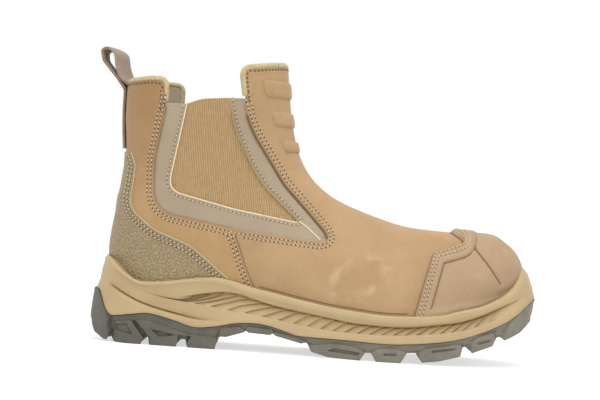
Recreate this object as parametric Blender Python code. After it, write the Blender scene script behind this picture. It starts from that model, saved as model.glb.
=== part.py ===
"""Side gore work boot for the right foot, standing on its sole.

Metres, +Z up, the toe towards +X, the outer side of the foot towards -Y.
The origin is on the floor, under the middle of the boot.
"""

import math
from collections import namedtuple

import bmesh
import bpy
import numpy as np

# Driving sizes of the whole boot
LENGTH = 0.314  # sole, heel to toe
BALL_WIDTH = 0.112  # sole, across the ball of the foot
SOLE_HEIGHT = 0.050  # floor to the sole's rim beside the heel
SEAT_HEIGHT = 0.030  # floor to where the upper starts, inside the sole
SHAFT_HEIGHT = 0.2025  # floor to the top of the front of the collar

# Thicknesses and small sizes
UPPER_WALL = 0.0028
GAP = 0.0003  # between pieces that meet
GORE_WALL = 0.0013
TRIM_WALL = 0.0010
COUNTER_WALL = 0.0016
TOE_CAP_WALL = 0.0018
TOE_RIDGE_RISE = 0.0010
PAD_RISE = 0.0022
BINDING_DIAMETER = 0.0032
INSOLE_THICKNESS = 0.0045
INSOLE_GAP = 0.0009  # wider than GAP, as the wall leans in over the footbed at the waist
TAPE_WIDTH = 0.025
TAPE_THICKNESS = 0.0020
LUG_HEIGHT = 0.0056
GROOVE_DEPTH = 0.0022
FLUTE_DEPTH = 0.0014
FLUTE_LEAN = 0.0045  # how far forward a flute's top is of its foot
LOBE_RISE = 0.0016  # how far the heel's lower lobe stands proud

# Mesh fineness
RING_COUNT = 14
RING_SIDES = 36
FLUTE_COUNT = 22
FLUTE_CROWDING = 0.22

COLOURS = {
    "nubuck": ((0.56, 0.37, 0.21), 0.85),
    "elastic": ((0.50, 0.34, 0.17), 0.9),
    "trim_leather": ((0.42, 0.34, 0.25), 0.55),
    "counter_leather": ((0.38, 0.34, 0.21), 0.7),
    "toe_rubber": ((0.50, 0.34, 0.21), 0.6),
    "binding": ((0.50, 0.40, 0.22), 0.8),
    "tape": ((0.33, 0.23, 0.15), 0.85),
    "midsole_foam": ((0.60, 0.44, 0.25), 0.55),
    "outsole_rubber": ((0.19, 0.17, 0.14), 0.6),
    "insole_foam": ((0.08, 0.08, 0.08), 0.9),
}

# One row for each ring of the upper, from its lower edge to above the collar.
# x is a share of LENGTH and z a share of the upper's height above the seat.
# dip lowers the ring between its ends; reach is how far below the ridge, as a share
# of BALL_WIDTH, the ring has its full width, and power how square it turns over.
Ring = namedtuple("Ring", "back_x back_z front_x front_z dip reach power")
RINGS = (
    Ring(-0.443, 0.023, 0.446, 0.070, 0.174, 0.42, 2.2),
    Ring(-0.456, 0.128, 0.463, 0.162, 0.162, 0.42, 2.2),
    Ring(-0.457, 0.209, 0.461, 0.220, 0.139, 0.42, 2.2),
    Ring(-0.453, 0.284, 0.448, 0.270, 0.136, 0.42, 2.2),
    Ring(-0.448, 0.348, 0.424, 0.310, 0.148, 0.42, 2.2),
    Ring(-0.446, 0.400, 0.389, 0.342, 0.171, 0.43, 2.15),
    Ring(-0.441, 0.446, 0.312, 0.348, 0.181, 0.46, 2.1),
    Ring(-0.438, 0.493, 0.217, 0.357, 0.181, 0.52, 2.0),
    Ring(-0.435, 0.545, 0.115, 0.403, 0.160, 0.58, 2.0),
    Ring(-0.435, 0.603, 0.032, 0.464, 0.125, 0.60, 2.0),
    Ring(-0.438, 0.672, -0.022, 0.548, 0.080, 0.56, 2.0),
    Ring(-0.441, 0.748, -0.052, 0.649, 0.046, 0.48, 2.0),
    Ring(-0.441, 0.823, -0.067, 0.754, 0.023, 0.44, 2.0),
    Ring(-0.440, 0.904, -0.078, 0.875, 0.012, 0.44, 2.0),
    Ring(-0.440, 1.020, -0.087, 1.032, 0.000, 0.44, 2.0),
)
TOE_RINGS = 5  # this many rings end on the toe's face, and the others on the ridge above it
DIP_PLACE = 0.8  # where along the ring its dip is

# Half the foot's width along its length, as shares of LENGTH and BALL_WIDTH
FOOT_WIDTH = ((-0.46, 0.318), (-0.30, 0.322), (-0.10, 0.335), (0.06, 0.392),
              (0.19, 0.450), (0.30, 0.448), (0.40, 0.430), (0.47, 0.40))
# Half the shaft's width by height, as shares of the upper's height and BALL_WIDTH
SHAFT_WIDTH = ((0.30, 0.325), (0.45, 0.315), (0.60, 0.318), (0.80, 0.345), (1.03, 0.375))
FOOT_TO_SHAFT = (0.20, 0.56)  # heights over which the first gives way to the second
# How far the foot's middle line swings to the inner side, as shares of LENGTH and BALL_WIDTH
SWING = ((-0.50, 0.0), (-0.25, 0.0), (-0.05, -0.025), (0.15, -0.012), (0.32, 0.025), (0.50, 0.075))
SWING_FADE = (0.15, 0.60)
BACK_REACH = 0.34  # share of BALL_WIDTH over which the heel's back rounds off
BACK_POWER = 2.2
TOE_REACH = 0.46
BACK_CROWDING = 1.25  # above 1, the mesh is finer round the heel

# Half the sole's width on the outer and the inner side, as shares of LENGTH and BALL_WIDTH
SoleWidth = namedtuple("SoleWidth", "x outer inner")
SOLE_WIDTH = (
    SoleWidth(-0.50, 0.385, 0.385),
    SoleWidth(-0.34, 0.386, 0.386),
    SoleWidth(-0.20, 0.382, 0.376),
    SoleWidth(-0.05, 0.404, 0.378),
    SoleWidth(0.10, 0.470, 0.430),
    SoleWidth(0.22, 0.503, 0.490),
    SoleWidth(0.34, 0.494, 0.491),
    SoleWidth(0.50, 0.450, 0.470),
)
SOLE_HEEL_REACH = 0.40
SOLE_TOE_REACH = 0.58
SOLE_POWER = 2.3

# Lines along the sole's side, as shares of LENGTH and SOLE_HEIGHT
GROUND_LINE = ((-0.500, 0.260), (-0.484, 0.130), (-0.462, 0.060), (-0.430, 0.016), (-0.390, 0.0),
               (-0.215, 0.0), (-0.194, 0.030), (-0.186, 0.165), (-0.165, 0.190), (-0.127, 0.258),
               (-0.077, 0.252), (-0.054, 0.234), (-0.005, 0.160), (0.034, 0.090), (0.043, 0.0),
               (0.240, 0.0), (0.264, 0.024), (0.300, 0.060), (0.345, 0.126), (0.373, 0.190),
               (0.417, 0.300), (0.446, 0.390), (0.470, 0.490), (0.492, 0.640), (0.500, 0.730))
SPLIT_LINE = ((-0.500, 0.780), (-0.462, 0.760), (-0.449, 0.680), (-0.436, 0.400), (-0.427, 0.372),
              (-0.382, 0.410), (-0.350, 0.436), (-0.293, 0.370), (-0.236, 0.284), (-0.196, 0.314),
              (-0.146, 0.382), (-0.108, 0.398), (-0.079, 0.380), (-0.039, 0.318), (-0.006, 0.268),
              (0.090, 0.262), (0.182, 0.248), (0.229, 0.264), (0.299, 0.316), (0.341, 0.372),
              (0.385, 0.468), (0.433, 0.606), (0.462, 0.728), (0.484, 0.860), (0.500, 0.960))
SWOOSH_LINE = ((-0.500, 0.920), (-0.433, 0.840), (-0.398, 0.712), (-0.369, 0.628), (-0.328, 0.558),
               (-0.287, 0.498), (-0.236, 0.406), (-0.196, 0.400), (-0.146, 0.450))
FLUTE_LINE = ((-0.500, 0.990), (-0.433, 0.920), (-0.382, 0.770), (-0.318, 0.670), (-0.287, 0.640),
              (-0.226, 0.600), (-0.178, 0.554), (-0.118, 0.520), (-0.079, 0.486), (-0.006, 0.420),
              (0.060, 0.376), (0.121, 0.362), (0.182, 0.368), (0.296, 0.432), (0.385, 0.564),
              (0.430, 0.706), (0.500, 1.040))
GROOVE_LINE = ((-0.500, 1.060), (-0.433, 0.980), (-0.382, 0.820), (-0.318, 0.700), (-0.287, 0.680),
               (-0.220, 0.752), (-0.180, 0.786), (-0.150, 0.774), (-0.121, 0.726), (-0.061, 0.640),
               (-0.008, 0.590), (0.057, 0.532), (0.118, 0.486), (0.182, 0.474), (0.226, 0.484),
               (0.296, 0.542), (0.338, 0.588), (0.392, 0.700), (0.430, 0.816), (0.462, 0.918),
               (0.500, 1.120))
RIM_LINE = ((-0.500, 1.200), (-0.465, 1.160), (-0.433, 1.080), (-0.398, 0.952), (-0.379, 0.890),
            (-0.361, 0.872), (-0.315, 0.892), (-0.269, 0.940), (-0.203, 0.990), (-0.167, 0.962),
            (-0.123, 0.894), (-0.064, 0.826), (-0.011, 0.764), (0.056, 0.698), (0.117, 0.660),
            (0.178, 0.634), (0.239, 0.646), (0.296, 0.678), (0.334, 0.744), (0.382, 0.824),
            (0.430, 0.954), (0.462, 1.090), (0.484, 1.240), (0.500, 1.380))

# Side outlines on the upper: x and z as in the rings, radius a share of LENGTH
Corner = namedtuple("Corner", "x z radius")
GORE_OPENING = (
    Corner(-0.331, 1.15, 0.0), Corner(-0.331, 0.82, 0.1), Corner(-0.356, 0.57, 0.20),
    Corner(-0.352, 0.362, 0.076), Corner(-0.160, 0.307, 0.4), Corner(0.056, 0.276, 0.0175),
    Corner(-0.068, 0.500, 0.15), Corner(-0.146, 0.711, 0.25), Corner(-0.170, 0.84, 0.0),
    Corner(-0.170, 1.15, 0.0),
)
GORE_TOP = (
    Corner(-0.420, 0.797, 0.0), Corner(-0.292, 0.797, 0.05), Corner(-0.260, 0.822, 0.1),
    Corner(-0.200, 0.832, 0.0), Corner(-0.100, 0.840, 0.0),
)
TRIM_INNER = (
    Corner(-0.290, 1.15, 0.0), Corner(-0.290, 0.80, 0.1), Corner(-0.304, 0.655, 0.3),
    Corner(-0.323, 0.449, 0.035), Corner(-0.175, 0.390, 0.6), Corner(-0.024, 0.350, 0.005),
    Corner(-0.121, 0.504, 0.25), Corner(-0.181, 0.707, 0.3), Corner(-0.198, 0.84, 0.0),
    Corner(-0.198, 1.15, 0.0),
)
COLLAR_CUT = (
    Corner(-0.65, 1.3, 0.0), Corner(-0.65, 0.873, 0.0), Corner(-0.440, 0.875, 0.0),
    Corner(-0.373, 0.886, 0.10), Corner(-0.342, 0.885, 0.016), Corner(-0.342, 0.780, 0.0),
    Corner(-0.160, 0.820, 0.0), Corner(-0.170, 0.950, 0.0175), Corner(-0.086, 0.979, 0.0),
    Corner(0.10, 0.983, 0.0), Corner(0.10, 1.3, 0.0),
)
REAR_BINDING = (
    Corner(-0.336, 0.803, 0.0), Corner(-0.336, 0.895, 0.019), Corner(-0.373, 0.898, 0.10),
    Corner(-0.440, 0.885, 0.0),
)
FRONT_BINDING = (
    Corner(-0.1655, 0.843, 0.0), Corner(-0.1755, 0.961, 0.0205), Corner(-0.0875, 0.990, 0.0),
)
COUNTER_OUTLINE = (
    Corner(-0.60, 0.597, 0.0), Corner(-0.413, 0.597, 0.01), Corner(-0.398, 0.540, 0.04),
    Corner(-0.407, 0.370, 0.05), Corner(-0.345, 0.285, 0.08), Corner(-0.262, 0.232, 0.15),
    Corner(-0.150, 0.075, 0.0), Corner(-0.150, -0.10, 0.0), Corner(-0.60, -0.10, 0.0),
)
TOE_CAP_OUTLINE = (
    Corner(0.222, -0.10, 0.0), Corner(0.240, 0.010, 0.0), Corner(0.271, 0.262, 0.012),
    Corner(0.344, 0.308, 0.040), Corner(0.300, 0.350, 0.02), Corner(0.290, 0.420, 0.0),
    Corner(0.60, 0.420, 0.0), Corner(0.60, -0.10, 0.0),
)
TOE_RIDGE_OUTLINE = (
    Corner(0.236, -0.10, 0.0), Corner(0.262, 0.010, 0.0), Corner(0.296, 0.228, 0.010),
    Corner(0.376, 0.292, 0.045), Corner(0.330, 0.350, 0.02), Corner(0.325, 0.420, 0.0),
    Corner(0.345, 0.420, 0.0), Corner(0.352, 0.350, 0.02), Corner(0.392, 0.292, 0.045),
    Corner(0.305, 0.205, 0.010), Corner(0.272, 0.010, 0.0), Corner(0.246, -0.10, 0.0),
)
# The padded ribs down the front of the shaft: rear edge, top and bottom
Pad = namedtuple("Pad", "rear_top rear_bottom front top bottom")
PADS = (
    Pad(-0.132, -0.120, 0.02, 0.918, 0.848),
    Pad(-0.108, -0.099, 0.05, 0.793, 0.732),
    Pad(-0.080, -0.075, 0.07, 0.680, 0.632),
)
PAD_CORNER = 0.006

# The pull loop's tape in the middle plane, from the outside of the heel's back, up, over
# and down inside the collar. rest is 1 where the tape lies on the upper and 0 where free.
TapePoint = namedtuple("TapePoint", "x z rest")
OUTER_LEG = (0.61, 0.70, 0.78, 0.84)  # heights of the tape's outer leg, on the upper
LOOP = (
    TapePoint(-0.462, 0.885, 0.5), TapePoint(-0.484, 0.935, 0.1), TapePoint(-0.496, 0.975, 0.0),
    TapePoint(-0.489, 1.010, 0.0), TapePoint(-0.474, 1.010, 0.0), TapePoint(-0.457, 0.975, 0.1),
    TapePoint(-0.438, 0.930, 0.6), TapePoint(-0.4265, 0.893, 1.0),
)
INNER_LEG = (0.85, 0.81, 0.76)  # heights of its inner leg, inside the collar

# Gaps between the lugs: rear and front along LENGTH, and how far the middle of the
# groove lies behind its ends
LugGap = namedtuple("LugGap", "rear front sweep")
LUG_GAPS = (
    LugGap(-0.432, -0.420, -0.030),
    LugGap(-0.354, -0.336, -0.030),
    LugGap(-0.275, -0.254, -0.030),
    LugGap(-0.188, -0.172, -0.015),
    LugGap(-0.125, -0.112, 0.0),
    LugGap(-0.066, -0.054, 0.0),
    LugGap(0.018, 0.040, 0.020),
    LugGap(0.130, 0.158, 0.030),
    LugGap(0.218, 0.261, 0.030),
    LugGap(0.347, 0.369, 0.030),
    LugGap(0.420, 0.441, 0.015),
)
MIDDLE_GROOVE = 0.17  # place of the two long grooves across the sole, share of BALL_WIDTH
MIDDLE_GROOVE_WIDTH = 0.005

RISE = SHAFT_HEIGHT - SEAT_HEIGHT


def smooth(table, x):
    """A smooth curve without overshoot through (place, value) rows, read at x."""
    places = np.array([row[0] for row in table], float)
    values = np.array([row[1] for row in table], float)
    steps = np.diff(places)
    slopes = np.diff(values) / steps
    bends = np.zeros(len(places))
    same_way = slopes[1:] * slopes[:-1] > 0
    harmonic = 2 * slopes[1:] * slopes[:-1] / np.where(same_way, slopes[1:] + slopes[:-1], 1)
    bends[1:-1] = np.where(same_way, harmonic, 0)
    bends[0], bends[-1] = slopes[0], slopes[-1]
    x = np.clip(x, places[0], places[-1])
    i = np.clip(np.searchsorted(places, x) - 1, 0, len(steps) - 1)
    t = (x - places[i]) / steps[i]
    return (values[i] * (1 + 2 * t) * (1 - t) ** 2 + values[i + 1] * t * t * (3 - 2 * t)
            + steps[i] * (bends[i] * t * (1 - t) ** 2 - bends[i + 1] * t * t * (1 - t)))


def ramp(x, low, high):
    """0 below low, 1 above high, and smooth between."""
    t = np.clip((x - low) / (high - low), 0, 1)
    return t * t * (3 - 2 * t)


def round_off(t, power):
    """From 0 at an edge to 1 at t = 1, along a rounded shoulder."""
    t = np.clip(t, 0, 1)
    return (1 - (1 - t) ** power) ** (1 / power)


def ring_value(column, v):
    """A column of RINGS between rings: v runs from 0 at the first to 1 at the last."""
    last = len(RINGS) - 1
    rows = [(i / last, getattr(ring, column)) for i, ring in enumerate(RINGS)]
    return smooth(rows, v)


def height(share):
    """A share of the upper's height as a height above the floor."""
    return SEAT_HEIGHT + share * RISE


def side_trace(v, s):
    """Ring v seen from the side: (x, z) at s, from 0 at the back to 1 at the front."""
    back_x, back_z = ring_value("back_x", v) * LENGTH, height(ring_value("back_z", v))
    front_x, front_z = ring_value("front_x", v) * LENGTH, height(ring_value("front_z", v))
    dip_x = back_x + DIP_PLACE * (front_x - back_x)
    dip_z = back_z + DIP_PLACE * (front_z - back_z) - ring_value("dip", v) * RISE
    a, b, c = (1 - s) ** 2, 2 * s * (1 - s), s * s
    return a * back_x + b * dip_x + c * front_x, a * back_z + b * dip_z + c * front_z


def distance_along(x, z, first, last, count=70):
    """Distance from (x, z) to the rings' front ends between rings first and last, and its v."""
    v = np.linspace(first, last, count)
    line_x, line_z = side_trace(v, 1.0)
    ax, az = line_x[:-1], line_z[:-1]
    bx, bz = np.diff(line_x), np.diff(line_z)
    t = ((x[:, None] - ax) * bx + (z[:, None] - az) * bz) / (bx * bx + bz * bz)
    t = np.clip(t, 0, 1)
    d = np.hypot(x[:, None] - ax - t * bx, z[:, None] - az - t * bz)
    near = d.argmin(1)
    rows = np.arange(len(x))
    return d[rows, near], v[near] + t[rows, near] * (v[1] - v[0])


def back_line(z):
    """x of the upper's back at height z."""
    line_x, line_z = side_trace(np.linspace(0, 1, 300), 0.0)
    return np.interp(z, line_z, line_x)


def half_width(x, z):
    """Half the upper's width at a point of its side view."""
    rise = (z - SEAT_HEIGHT) / RISE
    foot = smooth(FOOT_WIDTH, x / LENGTH)
    shaft = smooth(SHAFT_WIDTH, rise)
    widest = (foot + (shaft - foot) * ramp(rise, *FOOT_TO_SHAFT)) * BALL_WIDTH
    split = (TOE_RINGS - 1) / (len(RINGS) - 1)
    below_ridge, v = distance_along(x, z, split, 1.0)
    behind_toe, _ = distance_along(x, z, 0.0, split)
    reach = ring_value("reach", v) * BALL_WIDTH
    tiny = 1e-9
    over_ridge = (below_ridge + tiny) / reach
    over_toe = (behind_toe + tiny) / (TOE_REACH * BALL_WIDTH)
    front = (over_ridge ** -3 + over_toe ** -3) ** (-1 / 3)
    back = np.maximum(x - back_line(z), 1e-7) / (BACK_REACH * BALL_WIDTH)
    return widest * round_off(front, ring_value("power", v)) * round_off(back, BACK_POWER)


def middle_line(x, z):
    """How far the upper's middle lies towards the inner side."""
    fade = 1 - ramp((z - SEAT_HEIGHT) / RISE, *SWING_FADE)
    return smooth(SWING, x / LENGTH) * BALL_WIDTH * fade


def upper_skin(v, turn):
    """The upper's outer face. turn goes round a ring: 0 at the back, pi at the front."""
    s = ((1 - np.cos(turn)) / 2) ** BACK_CROWDING
    x, z = side_trace(v, s)
    side = -np.sign(np.sin(turn))
    y = middle_line(x, z) + side * half_width(x, z)
    return np.stack([x, y, z], -1)


def upper_point(v, turn, offset):
    """A point at an offset outside the upper's outer face."""
    v, turn = np.broadcast_arrays(np.asarray(v, float), np.asarray(turn, float))
    v, turn = v.ravel(), turn.ravel()
    step = 0.004
    along = upper_skin(v, turn + step) - upper_skin(v, turn - step)
    up = upper_skin(np.clip(v + step, 0, 1), turn) - upper_skin(np.clip(v - step, 0, 1), turn)
    out = np.cross(along, up)
    out /= np.linalg.norm(out, axis=1)[:, None]
    return upper_skin(v, turn) + offset * out


def locate(x, z):
    """Ring v and turn of the point of the outer side that is seen at (x, z) from the side."""
    x, z = np.atleast_1d(x).astype(float), np.atleast_1d(z).astype(float)
    grid_v, grid_s = np.meshgrid(np.linspace(0, 1, 60), np.linspace(0, 1, 60))
    gx, gz = side_trace(grid_v.ravel(), grid_s.ravel())
    near = ((x[:, None] - gx) ** 2 + (z[:, None] - gz) ** 2).argmin(1)
    v, s = grid_v.ravel()[near], grid_s.ravel()[near]
    step = 1e-4
    for _ in range(8):
        px, pz = side_trace(v, s)
        vx, vz = side_trace(v + step, s)
        sx, sz = side_trace(v, s + step)
        a, b, c, d = (vx - px) / step, (sx - px) / step, (vz - pz) / step, (sz - pz) / step
        det = a * d - b * c
        det = np.where(abs(det) < 1e-12, 1e-12, det)
        v = np.clip(v + (d * (x - px) - b * (z - pz)) / det, 0, 1 - 2 * step)
        s = np.clip(s + (a * (z - pz) - c * (x - px)) / det, 0, 1)
    return v, np.arccos(1 - 2 * s ** (1 / BACK_CROWDING))


def on_side(points, side, offset):
    """Points (x, z) of the side view put on the upper. side is -1 outer, 1 inner."""
    v, turn = locate([p[0] for p in points], [p[1] for p in points])
    return upper_point(v, turn if side < 0 else 2 * math.pi - turn, offset)


def outline(corners, segments=5):
    """Side-view points of a row of corners, each rounded to its radius."""
    points = [(c.x * LENGTH, height(c.z)) for c in corners]
    made = []
    for i, corner in enumerate(corners):
        here = np.array(points[i])
        ends = i in (0, len(corners) - 1)
        if corner.radius == 0 or ends:
            made.append(tuple(here))
            continue
        to_last = np.array(points[i - 1]) - here
        to_next = np.array(points[i + 1]) - here
        lengths = np.linalg.norm(to_last), np.linalg.norm(to_next)
        to_last, to_next = to_last / lengths[0], to_next / lengths[1]
        half = math.acos(np.clip(to_last @ to_next, -1, 1)) / 2
        reach = min(corner.radius * LENGTH / math.tan(half), 0.48 * min(lengths))
        for k in range(segments + 1):
            t = k / segments
            made.append(tuple(here + reach * ((1 - t) ** 2 * to_last + t * t * to_next)))
    return made


def material(name):
    found = bpy.data.materials.get(name)
    if found:
        return found
    colour, roughness = COLOURS[name]
    made = bpy.data.materials.new(name)
    made.use_nodes = True
    shader = made.node_tree.nodes["Principled BSDF"]
    shader.inputs["Base Color"].default_value = (*colour, 1)
    shader.inputs["Roughness"].default_value = roughness
    shader.inputs["Metallic"].default_value = 0.0
    return made


def add_object(name, mesh, material_name=None):
    """A part, or a hidden cutter where no material is given."""
    obj = bpy.data.objects.new(name, mesh)
    if material_name:
        obj.data.materials.append(material(material_name))
        PARTS.objects.link(obj)
    else:
        CUTTERS.objects.link(obj)
        obj.hide_render = True
        obj.display_type = "WIRE"
    return obj


def mesh_of(name, points, faces):
    mesh = bpy.data.meshes.new(name)
    mesh.from_pydata([tuple(p) for p in points], [], faces)
    bm = bmesh.new()
    bm.from_mesh(mesh)
    bmesh.ops.remove_doubles(bm, verts=bm.verts, dist=1e-7)
    bmesh.ops.recalc_face_normals(bm, faces=bm.faces)
    bm.to_mesh(mesh)
    bm.free()
    return mesh


def ring_faces(rows, count, closed):
    """Triangles between rows of points, all split along the same diagonal."""
    faces = []
    for i in range(rows - 1):
        for j in range(count if closed else count - 1):
            a, b = i * count + j, i * count + (j + 1) % count
            faces += [(a, b, b + count), (a, b + count, a + count)]
    return faces


def loft(name, loops):
    """A solid through closed loops of equally many points, with its ends capped."""
    count = len(loops[0])
    faces = ring_faces(len(loops), count, True)
    half = count // 2
    # a cap's triangles run across it, from one side of the loop to the other
    for start in (0, (len(loops) - 1) * count):
        for j in range(half):
            corners = [start + k % count for k in (j, j + 1, count - j - 1, count - j)]
            faces += [tuple(corners[:3]), tuple(corners[2:] + corners[:1])]
    return mesh_of(name, np.concatenate(loops), faces)


def grid_ring(ring, sides, offset):
    """Points of one ring of the upper's mesh at an offset. All the skins share this mesh."""
    turns = 2 * math.pi * np.asarray(sides) / RING_SIDES
    return upper_point(ring / (RING_COUNT - 1), turns, offset)


def ring_span(low, high):
    """The rings between two shares of the way up."""
    return range(math.floor(low * RING_COUNT), min(math.ceil(high * RING_COUNT) + 1, RING_COUNT))


def side_span(low, high):
    """The mesh lines between two shares of the way round: 0 at the back, 0.5 at the front."""
    return range(math.floor(low * RING_SIDES), math.ceil(high * RING_SIDES) + 1)


def upper_form(name, offset, rings, drop=0.0):
    """A closed solid of the upper's shape, from ring 0 up. drop lengthens it downwards."""
    loops = [grid_ring(ring, range(RING_SIDES), offset) for ring in range(rings)]
    loops[0][:, 2] -= drop
    return loft(name, loops)


def skin_solid(name, rings, sides, inner, outer):
    """A curved slab of the upper's skin between two offsets. A full ring is left open."""
    closed = len(sides) == RING_SIDES
    count, layer = len(sides), len(rings) * len(sides)
    points = [grid_ring(ring, sides, offset) for offset in (inner, outer) for ring in rings]
    skin = ring_faces(len(rings), count, closed)
    faces = [face[::-1] for face in skin] + [tuple(k + layer for k in face) for face in skin]
    bottom = list(range(count))
    top = [layer - count + j for j in bottom]
    if closed:
        rims = [bottom + bottom[:1], top[::-1] + top[-1:]]
    else:
        left = [i * count for i in range(len(rings) - 1, -1, -1)]
        right = [i * count + count - 1 for i in range(len(rings))]
        rims = [bottom, right, top[::-1], left]
    for rim in rims:
        for a, b in zip(rim, rim[1:]):
            faces.append((a, b, b + layer, a + layer))
    return mesh_of(name, np.concatenate(points), faces)


def prism(name, points, low_y, high_y):
    """A side-view outline made solid between two places across the boot."""
    bm = bmesh.new()
    face = bm.faces.new([bm.verts.new((x, low_y, z)) for x, z in points])
    made = bmesh.ops.extrude_face_region(bm, geom=[face])
    moved = [e for e in made["geom"] if isinstance(e, bmesh.types.BMVert)]
    bmesh.ops.translate(bm, verts=moved, vec=(0, high_y - low_y, 0))
    bmesh.ops.triangulate(bm, faces=[f for f in bm.faces if len(f.verts) > 4])
    bmesh.ops.recalc_face_normals(bm, faces=bm.faces)
    mesh = bpy.data.meshes.new(name)
    bm.to_mesh(mesh)
    bm.free()
    return mesh


def combine(obj, operation, other):
    modifier = obj.modifiers.new(other.name, "BOOLEAN")
    modifier.operation = operation
    modifier.object = other
    return obj


def make_upper():
    """The hollow leather upper, open at the collar, at both gores and underneath."""
    skin = skin_solid("upper", range(RING_COUNT), range(RING_SIDES), -UPPER_WALL, 0.0)
    upper = add_object("upper", skin, "nubuck")
    wide = BALL_WIDTH
    for name, corners in (("collar_cut", COLLAR_CUT), ("gore_cut", GORE_OPENING)):
        cutter = add_object(name, prism(name, outline(corners), -wide, wide))
        combine(upper, "DIFFERENCE", cutter)
    for i, pad in enumerate(PADS):
        combine(upper, "UNION", make_pad(i + 1, pad))


def make_pad(number, pad):
    """One padded rib: a block of the upper's own skin, raised and cut to its outline."""
    name = f"pad_{number}"
    skin = skin_solid(name, ring_span(0.5, 1), side_span(0.32, 0.68), -UPPER_WALL / 2, PAD_RISE)
    block = add_object(name, skin)
    corners = (
        Corner(pad.rear_top, pad.top, 0.0), Corner(pad.front, pad.top, 0.0),
        Corner(pad.front, pad.bottom, 0.0), Corner(pad.rear_bottom, pad.bottom, PAD_CORNER),
        Corner(pad.rear_top, pad.top, 0.0),
    )
    shape = prism(f"{name}_outline", outline(corners)[:-1], -BALL_WIDTH, BALL_WIDTH)
    return combine(block, "INTERSECT", add_object(f"{name}_outline", shape))


def shrink(points, by):
    """A closed side-view outline moved inwards by a distance."""
    p = np.array(points)
    before, after = np.roll(p, 1, 0), np.roll(p, -1, 0)
    area = np.sum(p[:, 0] * after[:, 1] - after[:, 0] * p[:, 1])
    turn = np.sign(area)
    d1 = (p - before) / np.linalg.norm(p - before, axis=1)[:, None]
    d2 = (after - p) / np.linalg.norm(after - p, axis=1)[:, None]
    n1 = turn * np.stack([-d1[:, 1], d1[:, 0]], 1)
    n2 = turn * np.stack([-d2[:, 1], d2[:, 0]], 1)
    mean = n1 + n2
    mean /= np.maximum(np.sum(mean * n1, 1), 0.3)[:, None]
    return [tuple(q) for q in p + by * mean]


def make_gores():
    """The elastic panel in each side's opening, and the leather trim that frames it."""
    opening = shrink(outline(GORE_OPENING), GAP)
    top = outline(GORE_TOP)
    sky = [(top[-1][0], height(1.3)), (top[0][0], height(1.3))]
    inner_edge = outline(TRIM_INNER)
    gore_outer = -GAP - TRIM_WALL - GAP
    for side, word in ((-1, "outer"), (1, "inner")):
        reach = (0.1 * BALL_WIDTH * side, BALL_WIDTH * side)
        sides = side_span(0.10, 0.44) if side < 0 else side_span(0.56, 0.90)
        above = add_object(f"gore_above_{word}", prism("above", top + sky, *reach))
        shape = add_object(f"gore_shape_{word}", prism("opening", opening, *reach))
        hole = add_object(f"gore_hole_{word}", prism("hole", inner_edge, *reach))
        for name, low, high, colour in (
            ("gore", gore_outer - GORE_WALL, gore_outer, "elastic"),
            ("gore_trim", -GAP - TRIM_WALL, -GAP, "trim_leather"),
        ):
            patch = skin_solid(name, ring_span(0.15, 0.9), sides, low, high)
            piece = add_object(f"{name}_{word}", patch, colour)
            combine(piece, "INTERSECT", shape)
            combine(piece, "DIFFERENCE", above)
            if name == "gore_trim":
                combine(piece, "DIFFERENCE", hole)


def make_counter(below_rim):
    """The leather counter round the heel, on top of the upper."""
    rings, sides = ring_span(0, 0.75), side_span(-0.22, 0.22)
    patch = skin_solid("heel_counter", rings, sides, GAP, GAP + COUNTER_WALL)
    counter = add_object("heel_counter", patch, "counter_leather")
    shape = prism("counter_outline", outline(COUNTER_OUTLINE), -BALL_WIDTH, BALL_WIDTH)
    combine(counter, "INTERSECT", add_object("counter_outline", shape))
    combine(counter, "DIFFERENCE", below_rim)


def make_toe_cap(below_rim):
    """The scuff cap over the toe, with its raised ridge."""
    rings, sides = ring_span(0, 0.5), side_span(0.27, 0.73)
    patch = skin_solid("toe_cap", rings, sides, GAP, GAP + TOE_CAP_WALL)
    cap = add_object("toe_cap", patch, "toe_rubber")
    shape = prism("toe_cap_outline", outline(TOE_CAP_OUTLINE), -BALL_WIDTH, BALL_WIDTH)
    combine(cap, "INTERSECT", add_object("toe_cap_outline", shape))
    ridge_skin = skin_solid("toe_ridge", rings, sides, GAP + TOE_CAP_WALL / 2,
                            GAP + TOE_CAP_WALL + TOE_RIDGE_RISE)
    ridge = add_object("toe_ridge", ridge_skin)
    shape = prism("toe_ridge_outline", outline(TOE_RIDGE_OUTLINE, 4), -BALL_WIDTH, BALL_WIDTH)
    combine(ridge, "INTERSECT", add_object("toe_ridge_outline", shape))
    combine(cap, "UNION", ridge)
    combine(cap, "DIFFERENCE", below_rim)


def cord_object(name, points, diameter, material_name):
    """A round tube through points, as a curve with a bevel and filled caps."""
    curve = bpy.data.curves.new(name, "CURVE")
    curve.dimensions = "3D"
    curve.bevel_depth = diameter / 2
    curve.bevel_resolution = 1
    curve.use_fill_caps = True
    spline = curve.splines.new("POLY")
    spline.points.add(len(points) - 1)
    for point, place in zip(spline.points, points):
        point.co = (*place, 1)
    return add_object(name, curve, material_name)


def collar_path(corners, pieces=6):
    """Points of a binding: up one side, over the middle of the collar and down the other."""
    side_view = outline(corners, 4)
    near, end = np.array(side_view[-2]), np.array(side_view[-1])
    # y grows as the square root of the distance from the middle, so the steps grow evenly
    shares = [(k / pieces) ** 2 for k in range(pieces - 1, -1, -1)]
    side_view = side_view[:-1] + [tuple(end + share * (near - end)) for share in shares]
    outer = on_side(side_view, -1, -UPPER_WALL / 2)
    inner = on_side(side_view, 1, -UPPER_WALL / 2)
    return np.concatenate([outer, inner[-2::-1]])


def make_bindings():
    for name, corners in (("collar_binding_rear", REAR_BINDING), ("collar_binding_front", FRONT_BINDING)):
        cord_object(name, collar_path(corners), BINDING_DIAMETER, "binding")


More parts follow.
